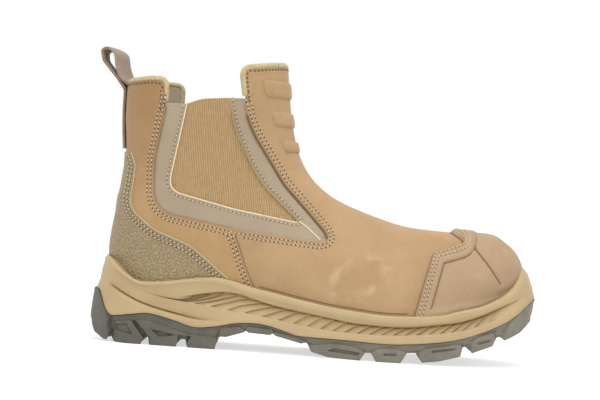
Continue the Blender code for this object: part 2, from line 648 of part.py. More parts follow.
def tape_path():
    """Middle line of the tape as rows of x, z and rest."""
    lift = 2 * GAP + TAPE_THICKNESS / 2
    outer = [(float(back_line(height(share))) - lift, height(share), 1.0) for share in OUTER_LEG]
    loop = [(p.x * LENGTH, height(p.z), p.rest) for p in LOOP]
    inside = UPPER_WALL + lift + GAP
    inner = [(float(back_line(height(share))) + inside, height(share), 1.0) for share in INNER_LEG]
    rows = np.array(outer + loop + inner)
    along = np.arange(len(rows), dtype=float)
    finer = np.linspace(0, along[-1], 2 * len(rows) + 4)
    return np.stack([smooth(list(zip(along, rows[:, k])), finer) for k in range(3)], 1)


def back_sag(y, z):
    """How far forward of its middle the upper's back lies at y to the side."""
    rise = (z - SEAT_HEIGHT) / RISE
    share = np.clip(np.abs(y) / (smooth(SHAFT_WIDTH, rise) * BALL_WIDTH), 0, 0.999)
    return BACK_REACH * BALL_WIDTH * (1 - (1 - share ** BACK_POWER) ** (1 / BACK_POWER))


def make_pull_loop():
    """The tape of the pull loop, bent round the back where it lies on it."""
    path = tape_path()
    step = np.gradient(path[:, :2], axis=0)
    step /= np.linalg.norm(step, axis=1)[:, None]
    across = np.linspace(-0.5, 0.5, 5) * TAPE_WIDTH
    loops = []
    for (x, z, rest), (dx, dz) in zip(path, step):
        wrap = rest * back_sag(across, z)
        halves = []
        for part, ys, wraps in ((0, across[:1], wrap[:1]), (0.5, across, wrap),
                                (0, across[-1:], wrap[-1:]), (-0.5, across[::-1], wrap[::-1])):
            lift = part * TAPE_THICKNESS
            halves += [(x + w - dz * lift, y, z + dx * lift) for y, w in zip(ys, wraps)]
        loops.append(np.array(halves))
    add_object("pull_loop", loft("pull_loop", loops), "tape")


def sole_edge(x, side):
    """Distance of the sole's edge from the middle plane at x, for one side."""
    share = x / LENGTH
    rows = [(row.x, row.outer if side < 0 else row.inner) for row in SOLE_WIDTH]
    heel = (x + LENGTH / 2) / (SOLE_HEEL_REACH * BALL_WIDTH)
    toe = (LENGTH / 2 - x) / (SOLE_TOE_REACH * BALL_WIDTH)
    round_ends = round_off(heel, SOLE_POWER) * round_off(toe, SOLE_POWER)
    return smooth(rows, share) * BALL_WIDTH * round_ends


def sole_loop(stations, inset, heights):
    """A closed loop round the sole at the stations, moved in by inset."""
    halves = []
    for side in (-1, 1):
        edge = sole_edge(stations, side)
        middle = smooth(SWING, stations / LENGTH) * BALL_WIDTH
        line = np.stack([stations, middle + side * edge], 1)
        line[0, 1], line[-1, 1] = middle[0], middle[-1]
        step = np.gradient(line, axis=0)
        step[0], step[-1] = (0, side), (0, -side)
        step /= np.linalg.norm(step, axis=1)[:, None]
        inward = np.stack([step[:, 1], -step[:, 0]], 1) * side
        placed = line + inward * np.asarray(inset)[:, None]
        halves.append(np.column_stack([placed, heights]))
    return np.concatenate([halves[0], halves[1][-2:0:-1]])


def sole_stations():
    """Places along the sole, close together at its ends and two to each flute between."""
    heel_end, toe_start = -0.29 * LENGTH, 0.44 * LENGTH
    turn = np.linspace(0, math.pi / 2, 13)
    heel = -LENGTH / 2 + (heel_end + LENGTH / 2) * (1 - np.cos(turn))
    toe = LENGTH / 2 - (LENGTH / 2 - toe_start) * (1 - np.cos(turn[:9] * 1.5))[::-1]
    # The flutes come closer together towards the toe
    share = np.linspace(0, 1, 2 * FLUTE_COUNT)
    flutes = heel_end + (toe_start - heel_end) * (share + FLUTE_CROWDING * share * (1 - share))
    return np.concatenate([heel[:-1], flutes, toe[1:]]), len(heel), len(heel) + len(flutes) - 2


def level(line, stations):
    return smooth(line, stations / LENGTH) * SOLE_HEIGHT


def side_rows():
    """The midsole's side, from its lower edge up: height, inset and lean at each station."""
    stations, first, last = sole_stations()
    share = stations / LENGTH
    split = level(SPLIT_LINE, stations)
    swoosh = np.maximum(level(SWOOSH_LINE, stations), split + 0.0035)
    flute = np.maximum(level(FLUTE_LINE, stations), swoosh + 0.0018)
    groove = np.maximum(level(GROOVE_LINE, stations), flute + 0.0020)
    rim = level(RIM_LINE, stations)
    lobe = LOBE_RISE * (1 - ramp(share, -0.30, -0.15))
    cut = GROOVE_DEPTH * ramp(share, -0.31, -0.20) * (1 - ramp(share, 0.44, 0.50))
    wave = np.zeros(len(stations))
    wave[first:last] = np.arange(last - first) % 2
    wave = wave * FLUTE_DEPTH * ramp(share, -0.29, -0.22)
    lean = FLUTE_LEAN * ramp(share, -0.29, -0.25) * (1 - ramp(share, 0.40, 0.46))
    body = 0.0010 + 0.0010 * (1 - ramp(share, -0.50, -0.40)) + lobe
    tuck = 0.0036 * ramp(share, 0.38, 0.50) + 0.0018 * (1 - ramp(share, -0.50, -0.42))
    return stations, (
        (split + GAP / 2, body - lobe, 0),
        (swoosh - 0.0008, body - lobe + 0.0002, 0),
        (swoosh + 0.0006, body + 0.0004, 0),
        (flute, body + 0.35 * cut + 0.3 * wave, 0),
        (groove - 0.0014, body + cut + wave, lean),
        (groove, body + 1.2 * cut, lean),
        (groove + 0.55 * (rim - groove), body + 0.2 * cut + 0.3 * tuck, 0),
        (rim - 0.0010, body + 0.0006 + 0.8 * tuck, 0),
        (rim, body + 0.0016 + tuck, 0),
    )


def make_midsole():
    """The moulded midsole: a cup round the upper's lower edge, with its grooves and flutes."""
    stations, rows = side_rows()
    loops = []
    for heights, inset, shift in rows:
        moved = np.clip(stations + shift, -LENGTH / 2, LENGTH / 2)
        loops.append(sole_loop(moved, inset, heights))
    midsole = add_object("midsole", loft("midsole", loops), "midsole_foam")
    cup = add_object("upper_cup", upper_form("upper_cup", GAP, RING_COUNT // 2, GAP))
    combine(midsole, "DIFFERENCE", cup)


def edge_cutter(name, row, lift, floor):
    """Everything beyond one row of the midsole's side, down or up to the height floor."""
    stations, rows = side_rows()
    heights, inset, _ = rows[row]
    edge = sole_loop(stations, inset, heights + lift)
    opposite = np.roll(edge[::-1], 1, 0)
    wider = edge + 0.1 * (edge - opposite)
    flat = wider.copy()
    flat[:, 2] = floor
    return add_object(name, loft(name, [flat, wider]))


def outsole_stations():
    """Places along the outsole: the corners of its ground line, with finer ends."""
    corners = [row[0] * LENGTH for row in GROUND_LINE]
    turn = np.linspace(0, math.pi / 2, 8)
    heel = -LENGTH / 2 + 0.11 * LENGTH * (1 - np.cos(turn))
    toe = LENGTH / 2 - 0.17 * LENGTH * (1 - np.cos(turn))
    split = [row[0] * LENGTH for row in SPLIT_LINE[1:-1]]
    places = sorted({round(x, 4) for x in (*corners, *heel, *toe, *split)})
    kept = [places[0]]
    for x in places[1:]:
        if x - kept[-1] > 0.0012 or x == places[-1]:
            kept.append(x)
    return np.array(kept)


def straight(line, stations):
    """A line of straight runs between its rows."""
    xs = [row[0] for row in line]
    return np.interp(stations / LENGTH, xs, [row[1] for row in line]) * SOLE_HEIGHT


def make_outsole():
    """The rubber outsole, cut into lugs by grooves across it and two along it."""
    stations = outsole_stations()
    ground = straight(GROUND_LINE, stations)
    split = level(SPLIT_LINE, stations)
    thick = split - ground
    loops = [
        sole_loop(stations, np.full(len(stations), 0.0030), ground),
        sole_loop(stations, np.full(len(stations), 0.0008), ground + 0.45 * thick),
        sole_loop(stations, np.full(len(stations), 0.0000), ground + 0.80 * thick),
        sole_loop(stations, np.full(len(stations), 0.0010), split + 0.003),
    ]
    outsole = add_object("outsole", loft("outsole", loops), "outsole_rubber")
    combine(outsole, "DIFFERENCE", edge_cutter("above_split", 0, -GAP, 0.09))
    for i, gap in enumerate(LUG_GAPS):
        for side, word in ((-1, "outer"), (1, "inner")):
            combine(outsole, "DIFFERENCE", make_lug_cutter(f"lug_gap_{i + 1}_{word}", gap, side))
    for side, word in ((-1, "outer"), (1, "inner")):
        for part, low, high in (("heel", -0.40, -0.20), ("forefoot", 0.06, 0.40)):
            name = f"long_groove_{part}_{word}"
            combine(outsole, "DIFFERENCE", make_long_cutter(name, low, high, side))


def make_lug_cutter(name, gap, side):
    """A wedge that clears one half of a groove between lugs, wider at the ground."""
    rear, front = gap.rear * LENGTH, gap.front * LENGTH
    middle = (gap.rear + gap.front) / 2
    ground = float(np.interp(middle, [r[0] for r in GROUND_LINE], [r[1] for r in GROUND_LINE]))
    ground *= SOLE_HEIGHT
    roof = ground + LUG_HEIGHT * (1.0 if abs(middle) > 0.17 else 0.8)
    if -0.15 < middle < 0.0:
        roof = ground + 0.25 * LUG_HEIGHT
    narrow = 0.18 * (front - rear)
    floor = min(ground, 0) - 0.01
    bm = bmesh.new()
    corners = ((rear - narrow, floor), (front + narrow, floor), (front - narrow, roof), (rear + narrow, roof))
    near, far = 0.02 * BALL_WIDTH * side, 0.75 * BALL_WIDTH * side
    if side > 0:
        near = -near - 0.0005
    sweep = gap.sweep * LENGTH
    inner = [bm.verts.new((x + sweep, near, z)) for x, z in corners]
    outer = [bm.verts.new((x, far, z)) for x, z in corners]
    bm.faces.new(inner)
    bm.faces.new(outer[::-1])
    for k in range(4):
        bm.faces.new((inner[k], outer[k], outer[(k + 1) % 4], inner[(k + 1) % 4]))
    bmesh.ops.recalc_face_normals(bm, faces=bm.faces)
    mesh = bpy.data.meshes.new(name)
    bm.to_mesh(mesh)
    bm.free()
    return add_object(name, mesh)


def make_long_cutter(name, low, high, side):
    """A groove along the sole, beside its middle."""
    bpy.ops.mesh.primitive_cube_add(size=1)
    cutter = bpy.context.object
    cutter.name = name
    middle = float(smooth(SWING, (low + high) / 2)) * BALL_WIDTH
    depth = 0.02
    cutter.dimensions = ((high - low) * LENGTH, MIDDLE_GROOVE_WIDTH, depth)
    cutter.location = ((low + high) / 2 * LENGTH, middle + side * MIDDLE_GROOVE * BALL_WIDTH,
                       LUG_HEIGHT * 0.8 - depth / 2)
    for collection in cutter.users_collection:
        collection.objects.unlink(cutter)
    CUTTERS.objects.link(cutter)
    cutter.hide_render = True
    cutter.display_type = "WIRE"
    return cutter


def make_insole():
    """The footbed that lies in the upper, on the midsole."""
    low = grid_ring(0, range(RING_SIDES), -UPPER_WALL - INSOLE_GAP)
    low[:, 2] += GAP
    high = low.copy()
    high[:, 2] += INSOLE_THICKNESS
    add_object("insole", loft("insole", [low, high]), "insole_foam")


def main():
    make_upper()
    make_gores()
    below_rim = edge_cutter("below_rim", -1, GAP, -0.01)
    make_counter(below_rim)
    make_toe_cap(below_rim)
    make_bindings()
    make_pull_loop()
    make_midsole()
    make_outsole()
    make_insole()
    for mesh in bpy.data.meshes:
        mesh.shade_smooth()
        mesh.set_sharp_from_angle(angle=math.radians(35))


for stale in list(bpy.data.objects):
    bpy.data.objects.remove(stale)
PARTS = bpy.data.collections.new("side_gore_work_boot")
CUTTERS = bpy.data.collections.new("cutters")
for made_collection in (PARTS, CUTTERS):
    bpy.context.scene.collection.children.link(made_collection)
main()
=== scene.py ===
"""Looks of the side gore work boot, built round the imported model.

Metres, +Z up, the toe towards +X, the outer side of the foot towards -Y.
"""

import math
from collections import namedtuple

import bmesh
import bpy
import numpy as np
from mathutils import Matrix, Vector

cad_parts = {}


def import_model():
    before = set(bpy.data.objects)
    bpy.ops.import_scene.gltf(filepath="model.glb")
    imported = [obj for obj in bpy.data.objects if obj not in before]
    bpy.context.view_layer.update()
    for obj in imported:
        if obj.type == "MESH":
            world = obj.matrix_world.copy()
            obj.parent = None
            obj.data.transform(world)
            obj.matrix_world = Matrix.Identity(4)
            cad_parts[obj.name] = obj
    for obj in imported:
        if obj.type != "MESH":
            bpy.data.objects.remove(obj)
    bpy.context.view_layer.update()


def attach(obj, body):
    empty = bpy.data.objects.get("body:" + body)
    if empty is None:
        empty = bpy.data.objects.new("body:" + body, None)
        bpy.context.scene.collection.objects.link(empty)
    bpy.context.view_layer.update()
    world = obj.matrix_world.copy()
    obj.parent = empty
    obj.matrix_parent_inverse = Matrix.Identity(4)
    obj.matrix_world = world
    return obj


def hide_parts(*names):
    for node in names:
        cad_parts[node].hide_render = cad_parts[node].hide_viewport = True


# Sizes repeated from the part's source
LENGTH = 0.314
BALL_WIDTH = 0.112
SOLE_HEIGHT = 0.050
SEAT_HEIGHT = 0.030
SHAFT_HEIGHT = 0.2025
UPPER_WALL = 0.0028
GAP = 0.0003
GORE_WALL = 0.0013
TRIM_WALL = 0.0010
COUNTER_WALL = 0.0016
TOE_CAP_WALL = 0.0018
TOE_RIDGE_RISE = 0.0013
PAD_RISE = 0.0016
BINDING_DIAMETER = 0.0040
INSOLE_THICKNESS = 0.0045
INSOLE_GAP = 0.0009
TAPE_WIDTH = 0.025
TAPE_THICKNESS = 0.0020
LUG_HEIGHT = 0.0056
GROOVE_DEPTH = 0.0022

# Sizes that only the looks need
MESH_RINGS = 96
MESH_SIDES = 520
SKIN_DEPTH = 0.0013  # how deep the leather's own edge shows
QUARTER_WALL = 0.0009
STITCH_PITCH = 0.0030
STITCH_LENGTH = 0.0018
STITCH_DIAMETER = 0.0007
HOLE_DIAMETER = 0.0014
CHANNEL_DEPTH = 0.00022
CHANNEL_HALF_WIDTH = 0.0011
FLUTE_COUNT = 27
FLUTE_DEPTH = 0.0028
REAR_FLUTE_LEAN = 0.036
FRONT_FLUTE_LEAN = 0.009
RIDGE_WIDTH = 0.0088
FLUTE_CROWDING = 0.13
COVE_DEPTH = 0.0030
RIM_BAND = 0.0058
LUG_STEP = 0.0016
SCUFF_TILT = 0.5  # radians
LUG_SLANT = 0.0875  # how far the lugs run back for each metre across the sole
LIP_HEIGHT = 0.0035  # of the midsole's lower lip over the rubber
SOLE_STATIONS = 640
RISE = SHAFT_HEIGHT - SEAT_HEIGHT
TABLE_RINGS = 160
TABLE_SIDES = 800
RIDGE_COLUMNS = 7  # of the table, over which the skin is straight across the ridge
CURVE_SEGMENTS = 12  # in each rounded corner of an outline
LINE_SEGMENTS = 14  # the same for stitches and fine lines
GORE_TOP_SEGMENTS = 10
OUTLINE_PITCH = 0.0008
PATH_PITCH = 0.0012
FINE_PITCH = 0.001
CHANNELS = (0.0022, 0.0047)  # from a panel's edge to its two sewn channels
TOE_CHANNELS = (0.0021, 0.0046)
COLLAR_STITCHES = (0.0018,)
CHANNEL_STEPS = (-1, -0.5, 0, 0.5, 1)  # where the mesh is cut across a channel
ROUNDING_STEPS = (0.0, 0.12, 0.35, 0.65, 1.0)  # and across a rounded edge
CLEAR = 0.0001  # keeps two faces from lying in one
RIM_TUCK = 0.004  # how far the upper's pieces go down behind the midsole's rim
GORE_RINGS = (0.1, 0.95)
GORE_SIDES = (("outer", (0.08, 0.46)), ("inner", (0.54, 0.92)))
SIDES = (("outer", -1), ("inner", 1))
# A stitch's rings: place along it, as a share of its length, and size
STITCH_RINGS = ((-0.5, 0.35), (-0.32, 0.9), (0.0, 1.0), (0.32, 0.9), (0.5, 0.35))
STITCH_SIDES = 6
# The footbed's rings: how far in from its edge, and height as a share of its thickness
FOOTBED_RINGS = ((0, 0), (0, 0.7), (0.008, 0.92), (0.03, 1), (0.1, 0.98), (0.25, 0.94), (0.42, 0.93))
COUNTER_TOP = QUARTER_WALL + COUNTER_WALL * 0.6
# How many steps the mesh takes between each two of the midsole's rows
MIDSOLE_STEPS = (1, 3, 3, 1, 1, 2, 3, 18, 2, 2, 2, 2, 2, 2, 2, 1)
FLUTE_ROW = 7  # the midsole's row that the flutes start from
FLUTE_ROWS = 2.4  # how many rows up they reach
SKIN = []
MATERIALS = {}

# The camera, fitted to the photo
PHOTO_WIDTH = 600  # pixels
TARGET_PIXEL = (317, 205)  # where the photo shows the camera's target
PHOTO_CENTRE = (300, 200)
MM_PER_PIXEL = 0.705
TARGET = (0.0, 0.0, 0.1036)
CAMERA_DISTANCE = 1.5
CAMERA_YAW = 5.0
CAMERA_ROLL = 3.6
SENSOR_MM = 36.0

# One row for each ring of the upper, from its lower edge to above the collar.
# x is a share of LENGTH and z a share of the upper's height above the seat.
# dip lowers the ring between its ends; reach is how far below the ridge, as a share
# of BALL_WIDTH, the ring has its full width, and power how square it turns over.
Ring = namedtuple("Ring", "back_x back_z front_x front_z dip reach power")
RINGS = (
    Ring(-0.443, 0.023, 0.446, 0.070, 0.174, 0.42, 2.2),
    Ring(-0.456, 0.128, 0.463, 0.162, 0.162, 0.42, 2.2),
    Ring(-0.457, 0.209, 0.461, 0.220, 0.139, 0.42, 2.2),
    Ring(-0.453, 0.284, 0.448, 0.270, 0.136, 0.42, 2.2),
    Ring(-0.448, 0.348, 0.424, 0.310, 0.148, 0.42, 2.2),
    Ring(-0.446, 0.400, 0.389, 0.342, 0.171, 0.43, 2.15),
    Ring(-0.441, 0.446, 0.312, 0.348, 0.181, 0.46, 2.1),
    Ring(-0.438, 0.493, 0.217, 0.357, 0.181, 0.52, 2.0),
    Ring(-0.435, 0.545, 0.115, 0.403, 0.160, 0.58, 2.0),
    Ring(-0.435, 0.603, 0.032, 0.464, 0.125, 0.60, 2.0),
    Ring(-0.438, 0.672, -0.022, 0.548, 0.080, 0.56, 2.0),
    Ring(-0.441, 0.748, -0.052, 0.649, 0.046, 0.48, 2.0),
    Ring(-0.441, 0.823, -0.067, 0.754, 0.023, 0.44, 2.0),
    Ring(-0.440, 0.904, -0.078, 0.875, 0.012, 0.44, 2.0),
    Ring(-0.440, 1.020, -0.087, 1.032, 0.000, 0.44, 2.0),
)
TOE_RINGS = 5  # this many rings end on the toe's face, and the others on the ridge above it
DIP_PLACE = 0.8  # where along the ring its dip is

# Half the foot's width along its length, as shares of LENGTH and BALL_WIDTH
FOOT_WIDTH = (
    (-0.46, 0.318), (-0.3, 0.322), (-0.1, 0.335), (0.06, 0.392), (0.19, 0.45), (0.3, 0.448),
    (0.4, 0.43), (0.47, 0.4),
)
# Half the shaft's width by height, as shares of the upper's height and BALL_WIDTH
SHAFT_WIDTH = ((0.30, 0.325), (0.45, 0.315), (0.60, 0.318), (0.80, 0.345), (1.03, 0.375))
FOOT_TO_SHAFT = (0.20, 0.56)  # heights over which the first gives way to the second
# How far the foot's middle line swings to the inner side, as shares of LENGTH and BALL_WIDTH
SWING = ((-0.50, 0.0), (-0.25, 0.0), (-0.05, -0.025), (0.15, -0.012), (0.32, 0.025), (0.50, 0.075))
SWING_FADE = (0.15, 0.60)
BACK_REACH = 0.34  # share of BALL_WIDTH over which the heel's back rounds off
BACK_POWER = 2.2
TOE_REACH = 0.46
BACK_CROWDING = 1.25  # above 1, the mesh is finer round the heel

# Half the sole's width on the outer and the inner side, as shares of LENGTH and BALL_WIDTH
SoleWidth = namedtuple("SoleWidth", "x outer inner")
SOLE_WIDTH = (
    SoleWidth(-0.50, 0.385, 0.385),
    SoleWidth(-0.34, 0.386, 0.386),
    SoleWidth(-0.20, 0.382, 0.376),
    SoleWidth(-0.05, 0.404, 0.378),
    SoleWidth(0.10, 0.470, 0.430),
    SoleWidth(0.22, 0.503, 0.490),
    SoleWidth(0.34, 0.494, 0.491),
    SoleWidth(0.50, 0.450, 0.470),
)
SOLE_HEEL_REACH = 0.40
SOLE_TOE_REACH = 0.58
SOLE_POWER = 2.3

# Lines along the sole's side, as shares of LENGTH and SOLE_HEIGHT
SPLIT_LINE = (
    (-0.5, 0.73), (-0.48, 0.705), (-0.466, 0.62), (-0.443, 0.415), (-0.43, 0.372), (-0.382, 0.41),
    (-0.35, 0.436), (-0.293, 0.37), (-0.236, 0.284), (-0.196, 0.314), (-0.146, 0.382), (-0.108, 0.398),
    (-0.079, 0.38), (-0.039, 0.318), (-0.006, 0.268), (0.09, 0.262), (0.182, 0.248), (0.229, 0.264),
    (0.299, 0.316), (0.341, 0.372), (0.385, 0.468), (0.433, 0.606), (0.462, 0.728), (0.484, 0.86),
    (0.5, 0.96),
)
SWOOSH_LINE = (
    (-0.5, 0.85), (-0.455, 0.81), (-0.433, 0.76), (-0.398, 0.664), (-0.369, 0.588), (-0.328, 0.514),
    (-0.287, 0.458), (-0.236, 0.406), (-0.196, 0.4), (-0.146, 0.45),
)
FLUTE_LINE = (
    (-0.5, 0.99), (-0.433, 0.92), (-0.382, 0.77), (-0.318, 0.67), (-0.287, 0.64), (-0.226, 0.6),
    (-0.178, 0.554), (-0.118, 0.52), (-0.079, 0.486), (-0.006, 0.42), (0.06, 0.376), (0.121, 0.362),
    (0.182, 0.368), (0.296, 0.432), (0.385, 0.564), (0.43, 0.706), (0.5, 1.04),
)
GROOVE_LINE = (
    (-0.5, 1.06), (-0.433, 0.98), (-0.382, 0.82), (-0.318, 0.7), (-0.287, 0.68), (-0.22, 0.752),
    (-0.18, 0.786), (-0.15, 0.774), (-0.121, 0.726), (-0.061, 0.64), (-0.008, 0.59), (0.057, 0.532),
    (0.118, 0.486), (0.182, 0.474), (0.226, 0.484), (0.296, 0.542), (0.338, 0.588), (0.392, 0.7),
    (0.43, 0.816), (0.462, 0.918), (0.5, 1.12),
)
RIM_LINE = (
    (-0.5, 1.2), (-0.465, 1.16), (-0.433, 1.08), (-0.398, 0.952), (-0.379, 0.89), (-0.361, 0.872),
    (-0.315, 0.892), (-0.269, 0.94), (-0.203, 0.99), (-0.167, 0.962), (-0.123, 0.894), (-0.064, 0.826),
    (-0.011, 0.764), (0.056, 0.698), (0.117, 0.66), (0.178, 0.634), (0.239, 0.646), (0.296, 0.678),
    (0.334, 0.744), (0.382, 0.824), (0.43, 0.954), (0.462, 1.09), (0.484, 1.24), (0.5, 1.38),
)

# Side outlines on the upper: x and z as in the rings, radius a share of LENGTH
Corner = namedtuple("Corner", "x z radius", defaults=(0.0,))


def rounded(*rows):
    return tuple(Corner(*row) for row in rows)


GORE_OPENING = rounded(
    (-0.331, 1.15), (-0.331, 0.82, 0.1), (-0.356, 0.57, 0.2), (-0.352, 0.362, 0.076),
    (-0.16, 0.307, 0.4), (0.056, 0.276, 0.0175), (-0.068, 0.5, 0.15), (-0.146, 0.711, 0.25),
    (-0.17, 0.84), (-0.17, 1.15),
)
GORE_TOP = rounded(
    (-0.42, 0.797), (-0.292, 0.797, 0.05), (-0.26, 0.822, 0.1), (-0.2, 0.832), (-0.1, 0.84),
)
TRIM_INNER = rounded(
    (-0.29, 1.15), (-0.29, 0.8, 0.1), (-0.304, 0.655, 0.3), (-0.323, 0.449, 0.035), (-0.175, 0.39, 0.6),
    (-0.024, 0.35, 0.005), (-0.121, 0.504, 0.25), (-0.181, 0.707, 0.3), (-0.198, 0.84), (-0.198, 1.15),
)
COLLAR_CUT = rounded(
    (-0.65, 1.3), (-0.65, 0.873), (-0.44, 0.875), (-0.373, 0.886, 0.1), (-0.342, 0.885, 0.016),
    (-0.342, 0.78), (-0.16, 0.82), (-0.17, 0.95, 0.0175), (-0.086, 0.979), (0.1, 0.983), (0.1, 1.3),
)
REAR_BINDING = rounded(
    (-0.3385, 0.803), (-0.3385, 0.891, 0.019), (-0.373, 0.893, 0.1), (-0.44, 0.881),
)
FRONT_BINDING = rounded(
    (-0.1625, 0.843), (-0.1725, 0.956, 0.0205), (-0.0875, 0.985),
)
COUNTER_OUTLINE = rounded(
    (-0.6, 0.597), (-0.413, 0.597, 0.01), (-0.398, 0.54, 0.04), (-0.407, 0.37, 0.05),
    (-0.345, 0.285, 0.08), (-0.262, 0.232, 0.15), (-0.15, 0.075), (-0.15, -0.1), (-0.6, -0.1),
)
TOE_CAP_OUTLINE = rounded(
    (0.222, -0.1), (0.24, 0.01), (0.271, 0.262, 0.012), (0.344, 0.308, 0.04), (0.3, 0.35, 0.02),
    (0.29, 0.42), (0.6, 0.42), (0.6, -0.1),
)
# The padded ribs down the front of the shaft: rear edge, top and bottom
Pad = namedtuple("Pad", "rear_top rear_bottom top bottom")
PADS = (
    Pad(-0.132, -0.120, 0.918, 0.848),
    Pad(-0.108, -0.099, 0.793, 0.732),
    Pad(-0.080, -0.075, 0.680, 0.632),
)
PAD_CORNER = 0.006

# The pull loop's tape in the middle plane, from the outside of the heel's back, up, over
# and down inside the collar. rest is 1 where the tape lies on the upper and 0 where free.
TapePoint = namedtuple("TapePoint", "x z rest")
OUTER_LEG = (0.61, 0.70, 0.78, 0.84)  # heights of the tape's outer leg, on the upper
LOOP = (
    TapePoint(-0.462, 0.885, 0.5), TapePoint(-0.482, 0.930, 0.1), TapePoint(-0.499, 0.970, 0.0),
    TapePoint(-0.5015, 1.000, 0.0), TapePoint(-0.487, 1.016, 0.0), TapePoint(-0.465, 0.992, 0.05),
    TapePoint(-0.460, 0.945, 0.25), TapePoint(-0.452, 0.900, 0.6),
)
INNER_LEG = (0.85, 0.81, 0.76)  # heights of its inner leg, inside the collar

# How far the free tape is turned about the vertical, in degrees, by its place along the path
TAPE_TURN = (
    (0, 0), (6.4, 0), (8, 7), (9, 13), (11, 14), (12.5, 2), (14, 0),
)

MIDDLE_GROOVE = 0.17  # place of the two long grooves across the sole, share of BALL_WIDTH
MIDDLE_GROOVE_WIDTH = 0.005
GROOVE_ZONES = ((-0.40, -0.20), (0.06, 0.40))  # where they run, as shares of LENGTH

# The outsole's ground line with its notches, which show light through them from the side
LUG_GROUND = (
    (-0.5, 0.3), (-0.4905, 0.275), (-0.487, 0.2), (-0.478, 0.11), (-0.441, 0.022), (-0.436, 0.15),
    (-0.423, 0.15), (-0.418, 0.01), (-0.39, 0), (-0.3585, 0), (-0.352, 0.105), (-0.339, 0.105),
    (-0.3355, 0), (-0.28, 0), (-0.275, 0.105), (-0.256, 0.105), (-0.2515, 0), (-0.1945, 0),
    (-0.1885, 0.165), (-0.18, 0.185), (-0.172, 0.178), (-0.134, 0.258), (-0.125, 0.29), (-0.117, 0.262),
    (-0.073, 0.252), (-0.066, 0.282), (-0.057, 0.243), (-0.004, 0.168), (0.007, 0.19), (0.014, 0.165),
    (0.022, 0.064), (0.057, 0.014), (0.127, 0), (0.138, 0.112), (0.152, 0.116), (0.163, 0),
    (0.217, 0.004), (0.23, 0.146), (0.253, 0.156), (0.263, 0.028), (0.3, 0.06), (0.346, 0.14),
    (0.35, 0.27), (0.363, 0.282), (0.371, 0.19), (0.416, 0.298), (0.423, 0.41), (0.431, 0.432),
    (0.441, 0.382), (0.47, 0.49), (0.492, 0.64), (0.5, 0.73),
)
# How far the sole's back leans forward and its toe back, by height above the floor in metres
HEEL_LEAN = (
    (0.016, 0), (0.02, 0.0005), (0.032, 0.0026), (0.042, 0.0052), (0.049, 0.0058), (0.054, 0.007),
    (0.06, 0.0078),
)
TOE_LEAN = ((0.038, 0.0), (0.045, 0.0002), (0.050, 0.0008), (0.061, 0.0026), (0.0675, 0.0052),
            (0.071, 0.0066))
# Where the lugs' faces end and the plain band under the midsole begins
LUG_TOP = (
    (-0.5, 0.95), (-0.443, 0.95), (-0.438, 0.2), (-0.433, 0.281), (-0.388, 0.314), (-0.352, 0.344),
    (-0.306, 0.266), (-0.251, 0.178), (-0.194, 0.165), (-0.186, 0.2), (-0.183, 0.293), (-0.142, 0.336),
    (-0.13, 0.285), (-0.122, 0.344), (-0.069, 0.328), (-0.064, 0.29), (-0.058, 0.296), (0.005, 0.208),
    (0.012, 0.168), (0.021, 0.161), (0.073, 0.202), (0.115, 0.184), (0.141, 0.115), (0.15, 0.118),
    (0.167, 0.177), (0.206, 0.195), (0.228, 0.155), (0.255, 0.165), (0.266, 0.21), (0.33, 0.293),
    (0.345, 0.3), (0.352, 0.272), (0.362, 0.29), (0.377, 0.401), (0.414, 0.485), (0.424, 0.42),
    (0.436, 0.43), (0.448, 0.6), (0.47, 0.78), (0.5, 0.99),
)
# Hollows in the outsole's side: depth in metres, and corners as shares
Hollow = namedtuple("Hollow", "depth corners")
HOLLOWS = (
    Hollow(0.0032, ((-0.442, 0.410), (-0.436, 0.130), (-0.420, 0.130), (-0.428, 0.372))),
    Hollow(0.0020, ((-0.427, 0.255), (-0.393, 0.278), (-0.377, 0.125), (-0.417, 0.160))),
    Hollow(0.0036, ((-0.384, 0.330), (-0.373, 0.334), (-0.337, 0.090), (-0.353, 0.090))),
    Hollow(0.0022, ((-0.340, 0.229), (-0.276, 0.158), (-0.318, 0.118))),
    Hollow(0.0030, ((-0.277, 0.172), (-0.246, 0.155), (-0.254, 0.090), (-0.277, 0.090))),
    Hollow(0.0020, ((0.052, 0.096), (0.071, 0.147), (0.129, 0.110), (0.123, 0.062))),
    Hollow(0.0015, ((0.176, 0.123), (0.208, 0.138), (0.208, 0.094), (0.180, 0.084))),
    Hollow(0.0015, ((0.282, 0.203), (0.334, 0.260), (0.335, 0.222), (0.282, 0.165))),
    Hollow(0.0015, ((0.379, 0.348), (0.411, 0.394), (0.410, 0.354), (0.380, 0.304))),
)

# Outlines that only the looks need
QUARTER_SEAM = rounded(
    (-0.171, 0.3), (-0.157, 0.252, 0.1), (-0.138, 0.162, 0.2), (-0.112, 0.07),
)
QUARTER_OUTLINE = rounded(
    (-0.65, -0.25), (-0.03, -0.25), (-0.112, 0.07), (-0.138, 0.162, 0.2), (-0.157, 0.252, 0.1),
    (-0.178, 0.336), (-0.25, 1.3), (-0.65, 1.3),
)
FRONT_BAND_SEAM = rounded(
    (-0.028, 0.358), (-0.01, 0.338, 0.06), (0.022, 0.29),
)
FRONT_BAND = rounded(
    (-0.028, 0.358), (-0.01, 0.338, 0.06), (0.022, 0.29), (0.1, 0.2), (0.3, 0.3), (0.3, 1.3),
    (-0.24, 1.3), (-0.24, 0.8), (-0.1, 0.42),
)
TOE_CREASE = ((0.353, 0.300), (0.372, 0.262), (0.390, 0.225), (0.405, 0.190), (0.417, 0.160))
